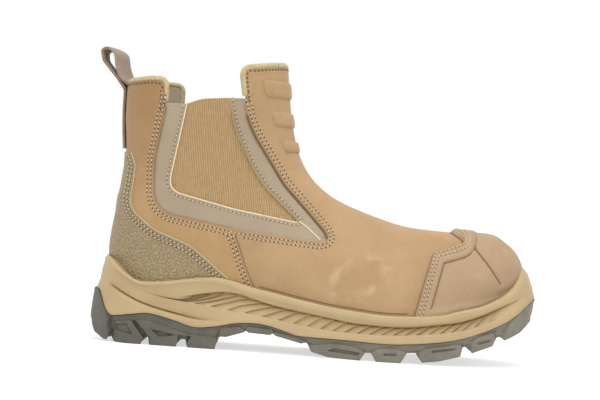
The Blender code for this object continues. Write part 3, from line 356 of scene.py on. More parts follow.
# Rows of stitches: a side-view line, how far to its right each row lies, its height, how
# large its holes are and whether its thread shows
StitchRow = namedtuple("StitchRow", "corners distances offset hole thread")
STITCH_ROWS = (
    StitchRow(QUARTER_SEAM, CHANNELS, QUARTER_WALL, 1.0, True),
    StitchRow(COUNTER_OUTLINE[:7], CHANNELS, COUNTER_TOP, 0.9, True),
    StitchRow(TOE_CAP_OUTLINE[:6], TOE_CHANNELS, TOE_CAP_WALL + TOE_RIDGE_RISE, 0.65, True),
    StitchRow(TRIM_INNER[1:9], CHANNELS[:1], -0.0004, 0.6, True),
    StitchRow(COLLAR_CUT[2:6], COLLAR_STITCHES, QUARTER_WALL, 1.2, False),
    StitchRow(COLLAR_CUT[6:9], COLLAR_STITCHES, 0.0, 1.2, False),
)


def curve(places, values, x):
    """A smooth curve without overshoot through values at places, read at x.

    values may have a row for each place, and each of its columns is then a curve.
    """
    columns = (1,) * (values.ndim - 1)
    steps = np.diff(places).reshape(-1, *columns)
    slopes = np.diff(values, axis=0) / steps
    bends = np.zeros_like(values)
    same_way = slopes[1:] * slopes[:-1] > 0
    total = np.where(same_way, slopes[1:] + slopes[:-1], 1)
    bends[1:-1] = np.where(same_way, 2 * slopes[1:] * slopes[:-1] / total, 0)
    bends[0], bends[-1] = slopes[0], slopes[-1]
    x = np.clip(x, places[0], places[-1])
    i = np.clip(np.searchsorted(places, x) - 1, 0, len(steps) - 1)
    t = np.reshape(x - places[i], np.shape(x) + columns) / steps[i]
    return (values[i] * (1 + 2 * t) * (1 - t) ** 2 + values[i + 1] * t * t * (3 - 2 * t)
            + steps[i] * (bends[i] * t * (1 - t) ** 2 - bends[i + 1] * t * t * (1 - t)))


def smooth(table, x):
    """A curve through (place, value) rows, read at x."""
    places, values = np.array(table, float).T
    return curve(places, values, x)


def ramp(x, low, high):
    """0 below low, 1 above high, and smooth between."""
    t = np.clip((x - low) / (high - low), 0, 1)
    return t * t * (3 - 2 * t)


def round_off(t, power):
    """From 0 at an edge to 1 at t = 1, along a rounded shoulder."""
    t = np.clip(t, 0, 1)
    return (1 - (1 - t) ** power) ** (1 / power)


def ring_value(column, v):
    """A column of RINGS between rings: v runs from 0 at the first to 1 at the last."""
    last = len(RINGS) - 1
    rows = [(i / last, getattr(ring, column)) for i, ring in enumerate(RINGS)]
    return smooth(rows, v)


def height(share):
    """A share of the upper's height as a height above the floor."""
    return SEAT_HEIGHT + share * RISE


def side_trace(v, s):
    """Ring v seen from the side: (x, z) at s, from 0 at the back to 1 at the front."""
    back_x, back_z = ring_value("back_x", v) * LENGTH, height(ring_value("back_z", v))
    front_x, front_z = ring_value("front_x", v) * LENGTH, height(ring_value("front_z", v))
    dip_x = back_x + DIP_PLACE * (front_x - back_x)
    dip_z = back_z + DIP_PLACE * (front_z - back_z) - ring_value("dip", v) * RISE
    a, b, c = (1 - s) ** 2, 2 * s * (1 - s), s * s
    return a * back_x + b * dip_x + c * front_x, a * back_z + b * dip_z + c * front_z


def distance_along(x, z, first, last, count=70):
    """Distance from (x, z) to the rings' front ends between rings first and last, and its v."""
    v = np.linspace(first, last, count)
    line_x, line_z = side_trace(v, 1.0)
    ax, az = line_x[:-1], line_z[:-1]
    bx, bz = np.diff(line_x), np.diff(line_z)
    t = ((x[:, None] - ax) * bx + (z[:, None] - az) * bz) / (bx * bx + bz * bz)
    t = np.clip(t, 0, 1)
    d = np.hypot(x[:, None] - ax - t * bx, z[:, None] - az - t * bz)
    near = d.argmin(1)
    rows = np.arange(len(x))
    return d[rows, near], v[near] + t[rows, near] * (v[1] - v[0])


def back_line(z):
    """x of the upper's back at height z."""
    line_x, line_z = side_trace(np.linspace(0, 1, 300), 0.0)
    return np.interp(z, line_z, line_x)


def half_width(x, z):
    """Half the upper's width at a point of its side view."""
    rise = (z - SEAT_HEIGHT) / RISE
    foot = smooth(FOOT_WIDTH, x / LENGTH)
    shaft = smooth(SHAFT_WIDTH, rise)
    widest = (foot + (shaft - foot) * ramp(rise, *FOOT_TO_SHAFT)) * BALL_WIDTH
    split = (TOE_RINGS - 1) / (len(RINGS) - 1)
    below_ridge, v = distance_along(x, z, split, 1.0)
    behind_toe, _ = distance_along(x, z, 0.0, split)
    reach = ring_value("reach", v) * BALL_WIDTH
    tiny = 1e-9
    over_ridge = (below_ridge + tiny) / reach
    over_toe = (behind_toe + tiny) / (TOE_REACH * BALL_WIDTH)
    front = (over_ridge ** -3 + over_toe ** -3) ** (-1 / 3)
    back = np.maximum(x - back_line(z), 1e-7) / (BACK_REACH * BALL_WIDTH)
    return widest * round_off(front, ring_value("power", v)) * round_off(back, BACK_POWER)


def middle_line(x, z):
    """How far the upper's middle lies towards the inner side."""
    fade = 1 - ramp((z - SEAT_HEIGHT) / RISE, *SWING_FADE)
    return smooth(SWING, x / LENGTH) * BALL_WIDTH * fade


def ring_share(turn):
    """How far along its ring's side view a turn lies."""
    return ((1 - np.cos(turn)) / 2) ** BACK_CROWDING


def upper_skin(v, turn):
    """The upper's outer face. turn goes round a ring: 0 at the back, pi at the front."""
    x, z = side_trace(v, ring_share(turn))
    y = middle_line(x, z) - np.sign(np.sin(turn)) * half_width(x, z)
    return np.stack([x, y, z], -1)


def make_skin_table():
    """The upper's outer face worked out once on a grid: its points and outward directions."""
    v = np.linspace(0, 1, TABLE_RINGS + 1)
    turn = np.linspace(0, 2 * math.pi, TABLE_SIDES, endpoint=False)
    grid_v, grid_t = np.meshgrid(v, turn, indexing="ij")
    points = upper_skin(grid_v.ravel(), grid_t.ravel()).reshape(len(v), len(turn), 3)
    middle = middle_line(points[:, :, 0], points[:, :, 2])
    front = TABLE_SIDES // 2
    for way in (-1, 1):
        edge = front + way * RIDGE_COLUMNS
        apart = points[:, edge, 1] - middle[:, edge]
        for k in range(RIDGE_COLUMNS):
            here = front + way * k
            points[:, here, 1] = middle[:, here] + apart * k / RIDGE_COLUMNS
    along = np.roll(points, -1, 1) - np.roll(points, 1, 1)
    out = np.cross(along, np.gradient(points, axis=0))
    out /= np.linalg.norm(out, axis=2)[:, :, None]
    SKIN.append(np.concatenate([points, out], 2))


def shares_of_four(t):
    """How much each of four points in a row counts at t between the middle two."""
    return np.stack([-t ** 3 + 2 * t * t - t, 3 * t ** 3 - 5 * t * t + 2, -3 * t ** 3 + 4 * t * t + t,
                     t ** 3 - t * t], -1) / 2


def upper_point(v, turn, offset):
    """A point at an offset outside the upper's outer face."""
    v, turn = np.broadcast_arrays(np.asarray(v, float), np.asarray(turn, float))
    row = np.clip(v.ravel(), 0, 1) * TABLE_RINGS
    column = turn.ravel() / (2 * math.pi) * TABLE_SIDES
    i, j = np.floor(row).astype(int), np.floor(column).astype(int)
    row_shares, column_shares = shares_of_four(row - i), shares_of_four(column - j)
    found = np.zeros((len(i), 6))
    for a in range(4):
        for b in range(4):
            cell = SKIN[0][np.clip(i + a - 1, 0, TABLE_RINGS), (j + b - 1) % TABLE_SIDES]
            found += (row_shares[:, a] * column_shares[:, b])[:, None] * cell
    out = found[:, 3:] / np.linalg.norm(found[:, 3:], axis=1)[:, None]
    return found[:, :3] + np.reshape(offset, (-1, 1)) * out


def locate(x, z):
    """Ring v and turn of the point of the outer side that is seen at (x, z) from the side."""
    x, z = np.atleast_1d(x).astype(float), np.atleast_1d(z).astype(float)
    grid_v, grid_s = np.meshgrid(np.linspace(0, 1, 60), np.linspace(0, 1, 60))
    gx, gz = side_trace(grid_v.ravel(), grid_s.ravel())
    near = ((x[:, None] - gx) ** 2 + (z[:, None] - gz) ** 2).argmin(1)
    v, s = grid_v.ravel()[near], grid_s.ravel()[near]
    step = 1e-4
    for _ in range(8):
        px, pz = side_trace(v, s)
        vx, vz = side_trace(v + step, s)
        sx, sz = side_trace(v, s + step)
        a, b, c, d = (vx - px) / step, (sx - px) / step, (vz - pz) / step, (sz - pz) / step
        det = a * d - b * c
        det = np.where(abs(det) < 1e-12, 1e-12, det)
        v = np.clip(v + (d * (x - px) - b * (z - pz)) / det, 0, 1 - 2 * step)
        s = np.clip(s + (a * (z - pz) - c * (x - px)) / det, 0, 1)
    return v, np.arccos(1 - 2 * s ** (1 / BACK_CROWDING))


def outline(corners, segments=CURVE_SEGMENTS):
    """Side-view points of a row of corners, each rounded to its radius."""
    points = [(c.x * LENGTH, height(c.z)) for c in corners]
    made = []
    for i, corner in enumerate(corners):
        here = np.array(points[i])
        ends = i in (0, len(corners) - 1)
        if corner.radius == 0 or ends:
            made.append(tuple(here))
            continue
        to_last = np.array(points[i - 1]) - here
        to_next = np.array(points[i + 1]) - here
        lengths = np.linalg.norm(to_last), np.linalg.norm(to_next)
        to_last, to_next = to_last / lengths[0], to_next / lengths[1]
        half = math.acos(np.clip(to_last @ to_next, -1, 1)) / 2
        reach = min(corner.radius * LENGTH / math.tan(half), 0.48 * min(lengths))
        for k in range(segments + 1):
            t = k / segments
            made.append(tuple(here + reach * ((1 - t) ** 2 * to_last + t * t * to_next)))
    return made


def sole_edge(x, side):
    """Distance of the sole's edge from the middle plane at x, for one side."""
    share = x / LENGTH
    rows = [(row.x, row.outer if side < 0 else row.inner) for row in SOLE_WIDTH]
    heel = (x + LENGTH / 2) / (SOLE_HEEL_REACH * BALL_WIDTH)
    toe = (LENGTH / 2 - x) / (SOLE_TOE_REACH * BALL_WIDTH)
    round_ends = round_off(heel, SOLE_POWER) * round_off(toe, SOLE_POWER)
    return smooth(rows, share) * BALL_WIDTH * round_ends


def side_outline_field(x, z, corners):
    """Signed distance from side-view points to a rounded closed outline, positive inside."""
    return signed_distance(x, z, outline(corners))


def from_run(x, z, start, end):
    """Distance of side-view points from the straight run between two points."""
    (ax, az), (bx, bz) = start, end
    dx, dz = bx - ax, bz - az
    t = np.clip(((x - ax) * dx + (z - az) * dz) / (dx * dx + dz * dz), 0, 1)
    return np.hypot(x - ax - t * dx, z - az - t * dz)


def signed_distance(x, z, points):
    """Signed distance from side-view points to a closed row of points, positive inside."""
    nearest = np.full(len(x), np.inf)
    inside = np.zeros(len(x), bool)
    for start, end in zip(points, [*points[1:], points[0]]):
        (ax, az), (bx, bz) = start, end
        if math.hypot(bx - ax, bz - az) < 1e-7:
            continue
        nearest = np.minimum(nearest, from_run(x, z, start, end))
        if bz != az:
            crosses = (az > z) != (bz > z)
            inside ^= crosses & (x < ax + (z - az) * (bx - ax) / (bz - az))
    return np.where(inside, nearest, -nearest)


def split_at(places, values, faces, at):
    """Splits the triangles that a level of values crosses."""
    values = np.where(abs(values - at) < 4e-5, at, values)
    above = values >= at
    count = above[faces].sum(1)
    whole = (count == 0) | (count == 3)
    cut = faces[~whole]
    lone = above[cut] == (count[~whole] == 1)[:, None]
    first = lone.argmax(1)
    row = np.arange(len(cut))
    a, b, c = (cut[row, (first + k) % 3] for k in range(3))
    edges = np.sort(np.stack([np.concatenate([a, a]), np.concatenate([b, c])], 1), 1)
    unique, which = np.unique(edges, axis=0, return_inverse=True)
    which = which.ravel()
    low, high = values[unique[:, 0]], values[unique[:, 1]]
    share = ((at - low) / (high - low))[:, None]
    made = places[unique[:, 0]] + share * (places[unique[:, 1]] - places[unique[:, 0]])
    p, q = len(places) + which[:len(a)], len(places) + which[len(a):]
    new = [np.stack(t, 1) for t in ((a, p, q), (p, b, c), (p, c, q))]
    places = np.concatenate([places, made])
    values = np.concatenate([values, np.full(len(made), at)])
    return places, values, np.concatenate([faces[whole], *new])


def skin_grid(rings, sides, fineness):
    """A fine mesh of places (v, turn) between two limits of each, and its triangles."""
    count_v = max(2, round((rings[1] - rings[0]) * MESH_RINGS * fineness))
    count_t = max(2, round((sides[1] - sides[0]) * MESH_SIDES * fineness))
    v = np.linspace(*rings, count_v + 1)
    turn = np.linspace(*sides, count_t + 1) * 2 * math.pi
    grid_v, grid_t = np.meshgrid(v, turn, indexing="ij")
    index = np.arange(grid_v.size).reshape(grid_v.shape)
    a, b = index[:-1, :-1].ravel(), index[:-1, 1:].ravel()
    c, d = index[1:, 1:].ravel(), index[1:, :-1].ravel()
    faces = np.concatenate([np.stack([a, b, c], 1), np.stack([a, c, d], 1)])
    return np.stack([grid_v.ravel(), grid_t.ravel()], 1), faces


def side_points(line):
    """A line given in shares, as side-view points."""
    return [(x * LENGTH, height(z)) for x, z in line]


def line_field(x, z, line):
    """Distance of side-view points from an open line, given in shares."""
    points = side_points(line)
    return np.min([from_run(x, z, *ends) for ends in zip(points, points[1:])], axis=0)


def side_view(places):
    return side_trace(places[:, 0], ring_share(places[:, 1]))


def cut_grid(field, grid, width, channels):
    """A grid cut along a field's edge, its rounding and its channels: places, values and faces."""
    places, faces = grid
    values = field(*side_view(places))
    levels = {share * width for share in ROUNDING_STEPS}
    for at in channels:
        levels |= {at + k * CHANNEL_HALF_WIDTH for k in CHANNEL_STEPS}
    for at in sorted(levels):
        places, values, faces = split_at(places, values, faces, at)
    faces = faces[values[faces].mean(1) > 0]
    used, faces = np.unique(faces, return_inverse=True)
    return places[used], values[used], faces.reshape(-1, 3)


def edge_walls(faces, count):
    """Two rows of triangles along the open edges, down to the points that lie count further on."""
    edges = np.concatenate([faces[:, [0, 1]], faces[:, [1, 2]], faces[:, [2, 0]]])
    _, first, uses = np.unique(np.sort(edges, 1), axis=0, return_index=True, return_counts=True)
    a, b = edges[first[uses == 1]].T
    return [np.stack([b, a, a + count], 1), np.stack([b, a + count, b + count], 1)]


def panel(name, field, low, high, rounding, rings=(0, 1), sides=(0, 1), channels=(), closed=False,
          swell=None, fineness=1.0):
    """A piece of the upper: where field is positive, from offset low out to high.

    Its edge is rounded off: rounding gives how wide the rounding is and how far it drops.
    A shallow channel runs at each distance in channels from its edge.
    swell gives more height from the side view's x and z and the distance from the edge.
    """
    width, drop = rounding
    places, values, faces = cut_grid(field, skin_grid(rings, sides, fineness), width, channels)
    outward = 1 if high > low else -1
    offset = high - outward * drop * (1 - np.sqrt(1 - (1 - np.clip(values / width, 0, 1)) ** 2))
    for at in channels:
        t = np.clip(abs(values - at) / CHANNEL_HALF_WIDTH, 0, 1)
        offset -= outward * CHANNEL_DEPTH * (1 - t * t) ** 2
    if swell:
        offset += outward * swell(*side_view(places), values)
    top, bottom = (upper_point(places[:, 0], places[:, 1], out) for out in (offset, low))
    back = [faces[:, ::-1] + len(top)] if closed else []
    faces = np.concatenate([faces, *edge_walls(faces, len(top)), *back])[:, ::outward]
    used, faces = np.unique(faces, return_inverse=True)
    made = tidy_mesh(name, np.concatenate([top, bottom])[used], faces.reshape(-1, 3))
    edge = made.data.attributes.new("edge", "FLOAT", "POINT")
    edge.data.foreach_set("value", edge_distances(made, field))
    return made


def edge_distances(obj, field):
    """Each point's distance from its panel's edge in the side view, in millimetres."""
    places = np.empty(len(obj.data.vertices) * 3)
    obj.data.vertices.foreach_get("co", places)
    places = places.reshape(-1, 3)
    return np.clip(field(places[:, 0], places[:, 2]) * 1000, 0, 50).astype(np.float32)


def tidy_mesh(name, points, faces, sharp=50, merge=1e-6):
    """An object from points and faces, merged, smooth and without slivers."""
    if isinstance(faces, np.ndarray):
        faces = faces.tolist()
    mesh = bpy.data.meshes.new(name)
    mesh.from_pydata(np.asarray(points).tolist(), [], faces)
    bm = bmesh.new()
    bm.from_mesh(mesh)
    bmesh.ops.remove_doubles(bm, verts=bm.verts, dist=merge)
    bmesh.ops.dissolve_degenerate(bm, dist=1e-7, edges=bm.edges)
    bm.to_mesh(mesh)
    bm.free()
    mesh.shade_smooth()
    mesh.set_sharp_from_angle(angle=math.radians(sharp))
    obj = bpy.data.objects.new(name, mesh)
    bpy.context.scene.collection.objects.link(obj)
    return obj


def finished(obj, material_name, node=None):
    """Gives a piece its material and its body, and hides the solid it stands for."""
    obj.data.materials.clear()
    obj.data.materials.append(MATERIALS[material_name])
    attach(obj, "root")
    if node:
        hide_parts(node)
    return obj


def resample(points, pitch, place=3):
    """Points a pitch apart along a row of points, whose first columns are their place."""
    p = np.array(points, float)
    along = np.concatenate([[0], np.cumsum(np.linalg.norm(np.diff(p[:, :place], axis=0), axis=1))])
    count = max(2, round(along[-1] / pitch) + 1)
    at = np.linspace(0, along[-1], count)
    return np.stack([np.interp(at, along, p[:, k]) for k in range(p.shape[1])], 1)


def beside(points, by):
    """A side-view line moved to its left by a distance, with its folds taken out."""
    p = resample(points, OUTLINE_PITCH)
    step = np.gradient(p, axis=0)
    step /= np.linalg.norm(step, axis=1)[:, None]
    moved = p + by * np.stack([-step[:, 1], step[:, 0]], 1)
    gap = np.linalg.norm(moved[:, None] - p[None], axis=2).min(1)
    return moved[gap > abs(by) - 2e-4]


def on_skin(line, side, offset):
    """A side-view line put on the upper, with the skin's outward direction at each point."""
    line = np.array(line)
    v, turn = locate(line[:, 0], line[:, 1])
    found = np.stack(side_trace(v, ring_share(turn)), 1)
    kept = np.linalg.norm(found - line, axis=1) < 0.0006
    v, turn = v[kept], turn[kept]
    offset = np.asarray(offset)[kept] if np.ndim(offset) else offset
    turn = turn if side < 0 else 2 * math.pi - turn
    here = upper_point(v, turn, offset)
    return here, (upper_point(v, turn, offset + 0.001) - here) / 0.001


def tube_faces(rings, count, start=0):
    """Four-sided faces between rings of count points, one ring after another from point start."""
    faces = []
    for low in range(start, start + (rings - 1) * count, count):
        high = low + count
        for k in range(count):
            after = (k + 1) % count
            faces.append((low + k, low + after, high + after, high + k))
    return faces


def end_faces(rings, count, start=0):
    """The faces that close both ends of such a tube."""
    last = start + (rings - 1) * count
    return [tuple(range(start, start + count))[::-1], tuple(range(last, last + count))]


class Stitches:
    """Rows of thread stitches and the holes they go through, drawn as dark discs of painted shade, each
    joined in one mesh.
    """

    def __init__(self):
        self.thread = [], []
        self.holes = [], []

    def add_row(self, line, out, hole=1.0, thread=True):
        """Stitches along a row of points in space. out gives the skin's outward direction."""
        rows = resample(np.concatenate([line, out], 1), STITCH_PITCH)
        step = np.gradient(rows[:, :3], axis=0)
        for point, normal, along in zip(rows[:, :3], rows[:, 3:], step):
            length = np.linalg.norm(along)
            if length < 1e-9:
                continue
            along = along / length
            normal = normal - along * (normal @ along)
            normal /= np.linalg.norm(normal)
            across = np.cross(normal, along)
            if thread:
                self.add_stitch(point, along, normal, across)
            middle = point + 0.5 * STITCH_PITCH * along
            self.add_hole(middle, along, normal, across, hole * HOLE_DIAMETER / 2)

    def add_stitch(self, point, along, normal, across):
        points, faces = self.thread
        shape = len(STITCH_RINGS), STITCH_SIDES, len(points)
        radius = STITCH_DIAMETER / 2
        for place, size in STITCH_RINGS:
            arch = radius * (0.9 * size - 0.25)
            centre = point + place * STITCH_LENGTH * along + arch * normal
            for k in range(STITCH_SIDES):
                angle = 2 * math.pi * k / STITCH_SIDES
                points.append(centre + radius * size * (math.cos(angle) * across
                                                        + math.sin(angle) * normal))
        faces.extend(tube_faces(*shape) + end_faces(*shape))

    # A hole is a small dark cone of painted shade on the surface
    def add_hole(self, point, along, normal, across, radius):
        points, faces = self.holes
        start = len(points)
        points.append(point + 0.00012 * normal)
        for k in range(STITCH_SIDES):
            angle = 2 * math.pi * k / STITCH_SIDES
            ring = math.cos(angle) * along + math.sin(angle) * across
            points.append(point + radius * ring - 0.00005 * normal)
            faces.append((start, start + 1 + k, start + 1 + (k + 1) % STITCH_SIDES))

    def finish(self):
        for name, (points, faces), slot in (("stitch_thread", self.thread, "binding"),
                                            ("stitch_hole_shade", self.holes, "tape")):
            finished(tidy_mesh(name, points, faces, merge=1e-8), name)


def sweep(name, line, radius, sides, out=None, taper_ends=False):
    """A round tube along a row of points. out gives a direction across it at each of them."""
    line = np.asarray(line, float)
    step = np.gradient(line, axis=0)
    step /= np.linalg.norm(step, axis=1)[:, None]
    normal = np.array([0.0, 0.0, 1.0])
    points = []
    for i, (centre, along) in enumerate(zip(line, step)):
        if out is not None:
            normal = out[i]
        normal = normal - along * (normal @ along)
        normal /= np.linalg.norm(normal)
        across = np.cross(along, normal)
        size = 0.55 if taper_ends and i in (0, len(line) - 1) else 1.0
        for k in range(sides):
            angle = 2 * math.pi * k / sides
            points.append(centre + radius * size * (math.cos(angle) * across
                                                    + math.sin(angle) * normal))
    faces = tube_faces(len(line), sides) + end_faces(len(line), sides)
    return tidy_mesh(name, points, faces, 60)


def new_material(name, colour, roughness, **sockets):
    made = bpy.data.materials.new(name)
    made.use_nodes = True
    shader = made.node_tree.nodes["Principled BSDF"]
    shader.inputs["Base Color"].default_value = (*colour, 1)
    shader.inputs["Roughness"].default_value = roughness
    for socket, value in sockets.items():
        shader.inputs[socket.replace("_", " ")].default_value = value
    MATERIALS[name] = made
    return made.node_tree, shader


def add_node(tree, kind, **values):
    node = tree.nodes.new(kind)
    for key, value in values.items():
        socket = node.inputs.get(key.replace("_", " ").title())
        if socket:
            socket.default_value = value
        else:
            setattr(node, key, value)
    return node


def textured(name, colour, roughness, **sockets):
    """A new material and the place on the object that its texture starts from."""
    tree, shader = new_material(name, colour, roughness, **sockets)
    return tree, shader, tree.nodes.new("ShaderNodeTexCoord").outputs["Object"]


def plug(tree, socket, value):
    """Gives a socket a plain value, or links it to another socket."""
    if isinstance(value, bpy.types.NodeSocket):
        tree.links.new(value, socket)
    else:
        socket.default_value = value


def calculate(tree, kind, operation, *values):
    """The result of a Math or VectorMath node."""
    node = tree.nodes.new(kind)
    node.operation = operation
    for socket, value in zip(node.inputs, values):
        plug(tree, socket, value)
    return node.outputs["Value" if operation == "LENGTH" else 0]


def axis(tree, place, name):
    """One of the coordinates of a place."""
    node = tree.nodes.new("ShaderNodeSeparateXYZ")
    tree.links.new(place, node.inputs["Vector"])
    return node.outputs[name]


def noise(tree, place, size, detail=4.0, roughness=0.6):
    """Noise whose features are about size metres across."""
    node = add_node(tree, "ShaderNodeTexNoise", scale=1 / size, detail=detail, roughness=roughness)
    tree.links.new(place, node.inputs["Vector"])
    return node.outputs["Fac"]


def spread(tree, value, low, high, to_low=0.0, to_high=1.0):
    """Stretches a value so that low becomes to_low and high becomes to_high."""
    node = tree.nodes.new("ShaderNodeMapRange")
    for name, number in zip(("From Min", "From Max", "To Min", "To Max"), (low, high, to_low, to_high)):
        node.inputs[name].default_value = number
    tree.links.new(value, node.inputs["Value"])
    return node.outputs["Result"]


def mix(tree, share, first, second, blend="MIX"):
    """A colour mix. share, first and second are sockets or plain values."""
    node = tree.nodes.new("ShaderNodeMix")
    node.data_type = "RGBA"
    node.blend_type = blend
    for index, value in ((0, share), (6, first), (7, second)):
        plug(tree, node.inputs[index], (*value, 1) if isinstance(value, tuple) else value)
    return node.outputs[2]


def bump(tree, shader, *layers):
    """Bump layers, each a height socket, strength and depth in metres."""
    last = None
    for value, strength, depth in layers:
        node = add_node(tree, "ShaderNodeBump", strength=strength, distance=depth)
        tree.links.new(value, node.inputs["Height"])
        if last:
            tree.links.new(last, node.inputs["Normal"])
        last = node.outputs["Normal"]
    tree.links.new(last, shader.inputs["Normal"])


def surface(tree, shader, colour, *layers):
    """A shader's colour and bump layers."""
    tree.links.new(colour, shader.inputs["Base Color"])
    bump(tree, shader, *layers)


def spots(tree, place, size, randomness=1.0):
    """Distance from the nearest of many points that lie about size metres apart."""
    node = add_node(tree, "ShaderNodeTexVoronoi", scale=1 / size, randomness=randomness)
    tree.links.new(place, node.inputs["Vector"])
    return node.outputs["Distance"]


def bands(tree, place, period, direction, distortion, detail_size=2.0):
    """Waves across one of the axes, period metres apart."""
    node = add_node(tree, "ShaderNodeTexWave", scale=2 * math.pi / (20 * period),
                    distortion=distortion, detail=2.0)
    node.bands_direction = direction
    node.inputs["Detail Scale"].default_value = detail_size
    tree.links.new(place, node.inputs["Vector"])
    return node.outputs["Fac"]


def leather(name, tones, roughness, grain, grain_depth, nap=0.0, sheen=0.0, edge_tone=None):
    """Leather with patches of tone, a fine grain and, for nubuck, a nap and a darker edge."""
    dark, mid, light = tones
    tree, shader, place = textured(name, mid, roughness, Sheen_Weight=sheen, Sheen_Roughness=0.5,
                                   Specular_IOR_Level=0.25)
    colour = mix(tree, spread(tree, noise(tree, place, 0.035, 3.0), 0.35, 0.65), dark, light)
    mottle = spread(tree, noise(tree, place, 0.0035, 5.0, 0.7), 0.25, 0.75)
    colour = mix(tree, 0.38, colour, mix(tree, mottle, dark, light))
    colour = mix(tree, 0.35, colour, mid)
    if edge_tone:
        edge = add_node(tree, "ShaderNodeAttribute", attribute_name="edge").outputs["Fac"]
        uneven = spread(tree, noise(tree, place, 0.008, 3.0), 0.1, 0.6)
        near = calculate(tree, "ShaderNodeMath", "MULTIPLY", edge, uneven)
        colour = mix(tree, spread(tree, near, 0.0, 2.0, 0.4, 0.0), colour, edge_tone)
    layers = [(noise(tree, place, 0.026, 2.0), 0.35, 0.0014),
              (noise(tree, place, grain, 3.0), 0.6, grain_depth)]
    if nap:
        layers.append((noise(tree, place, 0.0003, 2.0), 0.5, nap))
    surface(tree, shader, colour, *layers)
    rough = spread(tree, noise(tree, place, 0.012, 3.0), 0.0, 1.0, roughness - 0.07, roughness + 0.07)
    tree.links.new(rough, shader.inputs["Roughness"])
    return tree, shader, place, colour


def add_scuffs(tree, shader, place, colour, centre, reach, tone):
    """A pale rubbed ring round a point, tilted and broken up by noise."""
    away = calculate(tree, "ShaderNodeVectorMath", "SUBTRACT", place, centre)
    tilted = add_node(tree, "ShaderNodeVectorRotate", rotation_type="Y_AXIS", angle=SCUFF_TILT)
    tree.links.new(away, tilted.inputs["Vector"])
    scaled = calculate(tree, "ShaderNodeVectorMath", "DIVIDE", tilted.outputs[0], reach)
    length = calculate(tree, "ShaderNodeVectorMath", "LENGTH", scaled)
    from_ring = calculate(tree, "ShaderNodeMath", "SUBTRACT", length, 0.72)
    near = spread(tree, calculate(tree, "ShaderNodeMath", "ABSOLUTE", from_ring), 0.30, 0.0)
    streaks = spread(tree, noise(tree, place, 0.010, 3.0, 0.6), 0.42, 0.85)
    both = calculate(tree, "ShaderNodeMath", "MULTIPLY", near, streaks)
    tree.links.new(mix(tree, both, colour, tone), shader.inputs["Base Color"])


def make_materials():
    tan = ((0.312, 0.192, 0.092), (0.369, 0.235, 0.117), (0.426, 0.285, 0.154))
    brown = ((0.315, 0.187, 0.083), (0.375, 0.231, 0.107), (0.437, 0.285, 0.143))
    nubuck = (0.86, 0.0011, 0.00006, 0.00005, 0.1)
    burnt = (0.235, 0.135, 0.060)
    scuff = (0.52, 0.385, 0.24)
    made = leather("nubuck", tan, *nubuck, burnt)
    add_scuffs(*made, (0.036, -0.045, 0.056), (0.027, 0.06, 0.016), scuff)
    leather("pad_leather", tan, *nubuck)
    tree, shader, place, colour = leather("quarter", brown, *nubuck, burnt)
    darker = mix(tree, spread(tree, axis(tree, place, "Z"), 0.085, 0.16), (1, 1, 1), (0.80, 0.76, 0.74))
    tree.links.new(mix(tree, 1.0, colour, darker, "MULTIPLY"), shader.inputs["Base Color"])
    leather("trim_leather", ((0.275, 0.215, 0.142), (0.315, 0.248, 0.167), (0.35, 0.28, 0.195)), 0.5,
            0.0007, 0.00005)
    leather("toe_cap", ((0.305, 0.207, 0.120), (0.350, 0.240, 0.140), (0.39, 0.273, 0.163)), 0.6,
            0.0009, 0.00004)
    leather("lining", ((0.30, 0.25, 0.18), (0.35, 0.29, 0.21), (0.39, 0.33, 0.25)), 0.9, 0.0006,
            0.00012)
    make_counter_material()
    make_elastic()
    made = textured("binding", (0.55, 0.44, 0.25), 0.75, Sheen_Weight=0.2)
    add_patches(*made, 0.002, ((0.33, 0.265, 0.125), (0.50, 0.41, 0.22)))
    add_grain(*made, 0.0007, 4.0, 0.6, 0.00012)
    make_tape_material()
    made = textured("midsole_foam", (0.62, 0.47, 0.275), 0.48)
    add_patches(*made, 0.03, ((0.370, 0.266, 0.131), (0.420, 0.308, 0.158)))
    add_grain(*made, 0.0006, 3.0, 0.25, 0.00005)
    make_outsole_material()
    make_insole_material()
    new_material("stitch_thread", (0.52, 0.435, 0.29), 0.6, Sheen_Weight=0.3)
    # Painted shade in the stitch holes
    new_material("stitch_hole_shade", (0.10, 0.055, 0.028), 0.9)
    # A raw edge's pale tone, with a painted highlight along its raised edge
    add_grain(*textured("raw_edge_and_highlight", (0.66, 0.54, 0.36), 0.7), 0.0005, 4.0, 0.5, 0.00005)
    # Painted shadow in the gap at the opening's front
    new_material("painted_gap_shadow", (0.15, 0.095, 0.05), 0.9)
    # Dark lines of painted shade at edges, creases and over the rim's seam
    new_material("painted_shade_line", (0.20, 0.125, 0.068), 0.9)
    new_material("cut_edge", (0.42, 0.33, 0.185), 0.8)
    new_material("band_edge", (0.33, 0.235, 0.105), 0.7)
    new_material("floor", (0.45, 0.45, 0.45), 0.9, Emission_Color=(1, 1, 1, 1), Emission_Strength=0.6)


def add_patches(tree, shader, place, size, tones):
    """Patches of two tones, size metres across."""
    colour = mix(tree, spread(tree, noise(tree, place, size), 0.3, 0.7), *tones)
    tree.links.new(colour, shader.inputs["Base Color"])


def add_grain(tree, shader, place, size, detail, strength, depth):
    """One layer of fine grain, size metres across."""
    bump(tree, shader, (noise(tree, place, size, detail), strength, depth))


def make_counter_material():
    tree, shader, place = textured("counter_leather", (0.28, 0.225, 0.125), 0.5)
    pebbles = spread(tree, spots(tree, place, 0.0014), 0.75, 0.1)
    tone = mix(tree, pebbles, (0.185, 0.132, 0.062), (0.46, 0.335, 0.172))
    patches = mix(tree, noise(tree, place, 0.02), (0.23, 0.18, 0.10), (0.33, 0.265, 0.155))
    surface(tree, shader, mix(tree, 0.35, tone, patches), (pebbles, 1.0, 0.0008),
            (noise(tree, place, 0.0009, 3.0), 0.6, 0.0002))


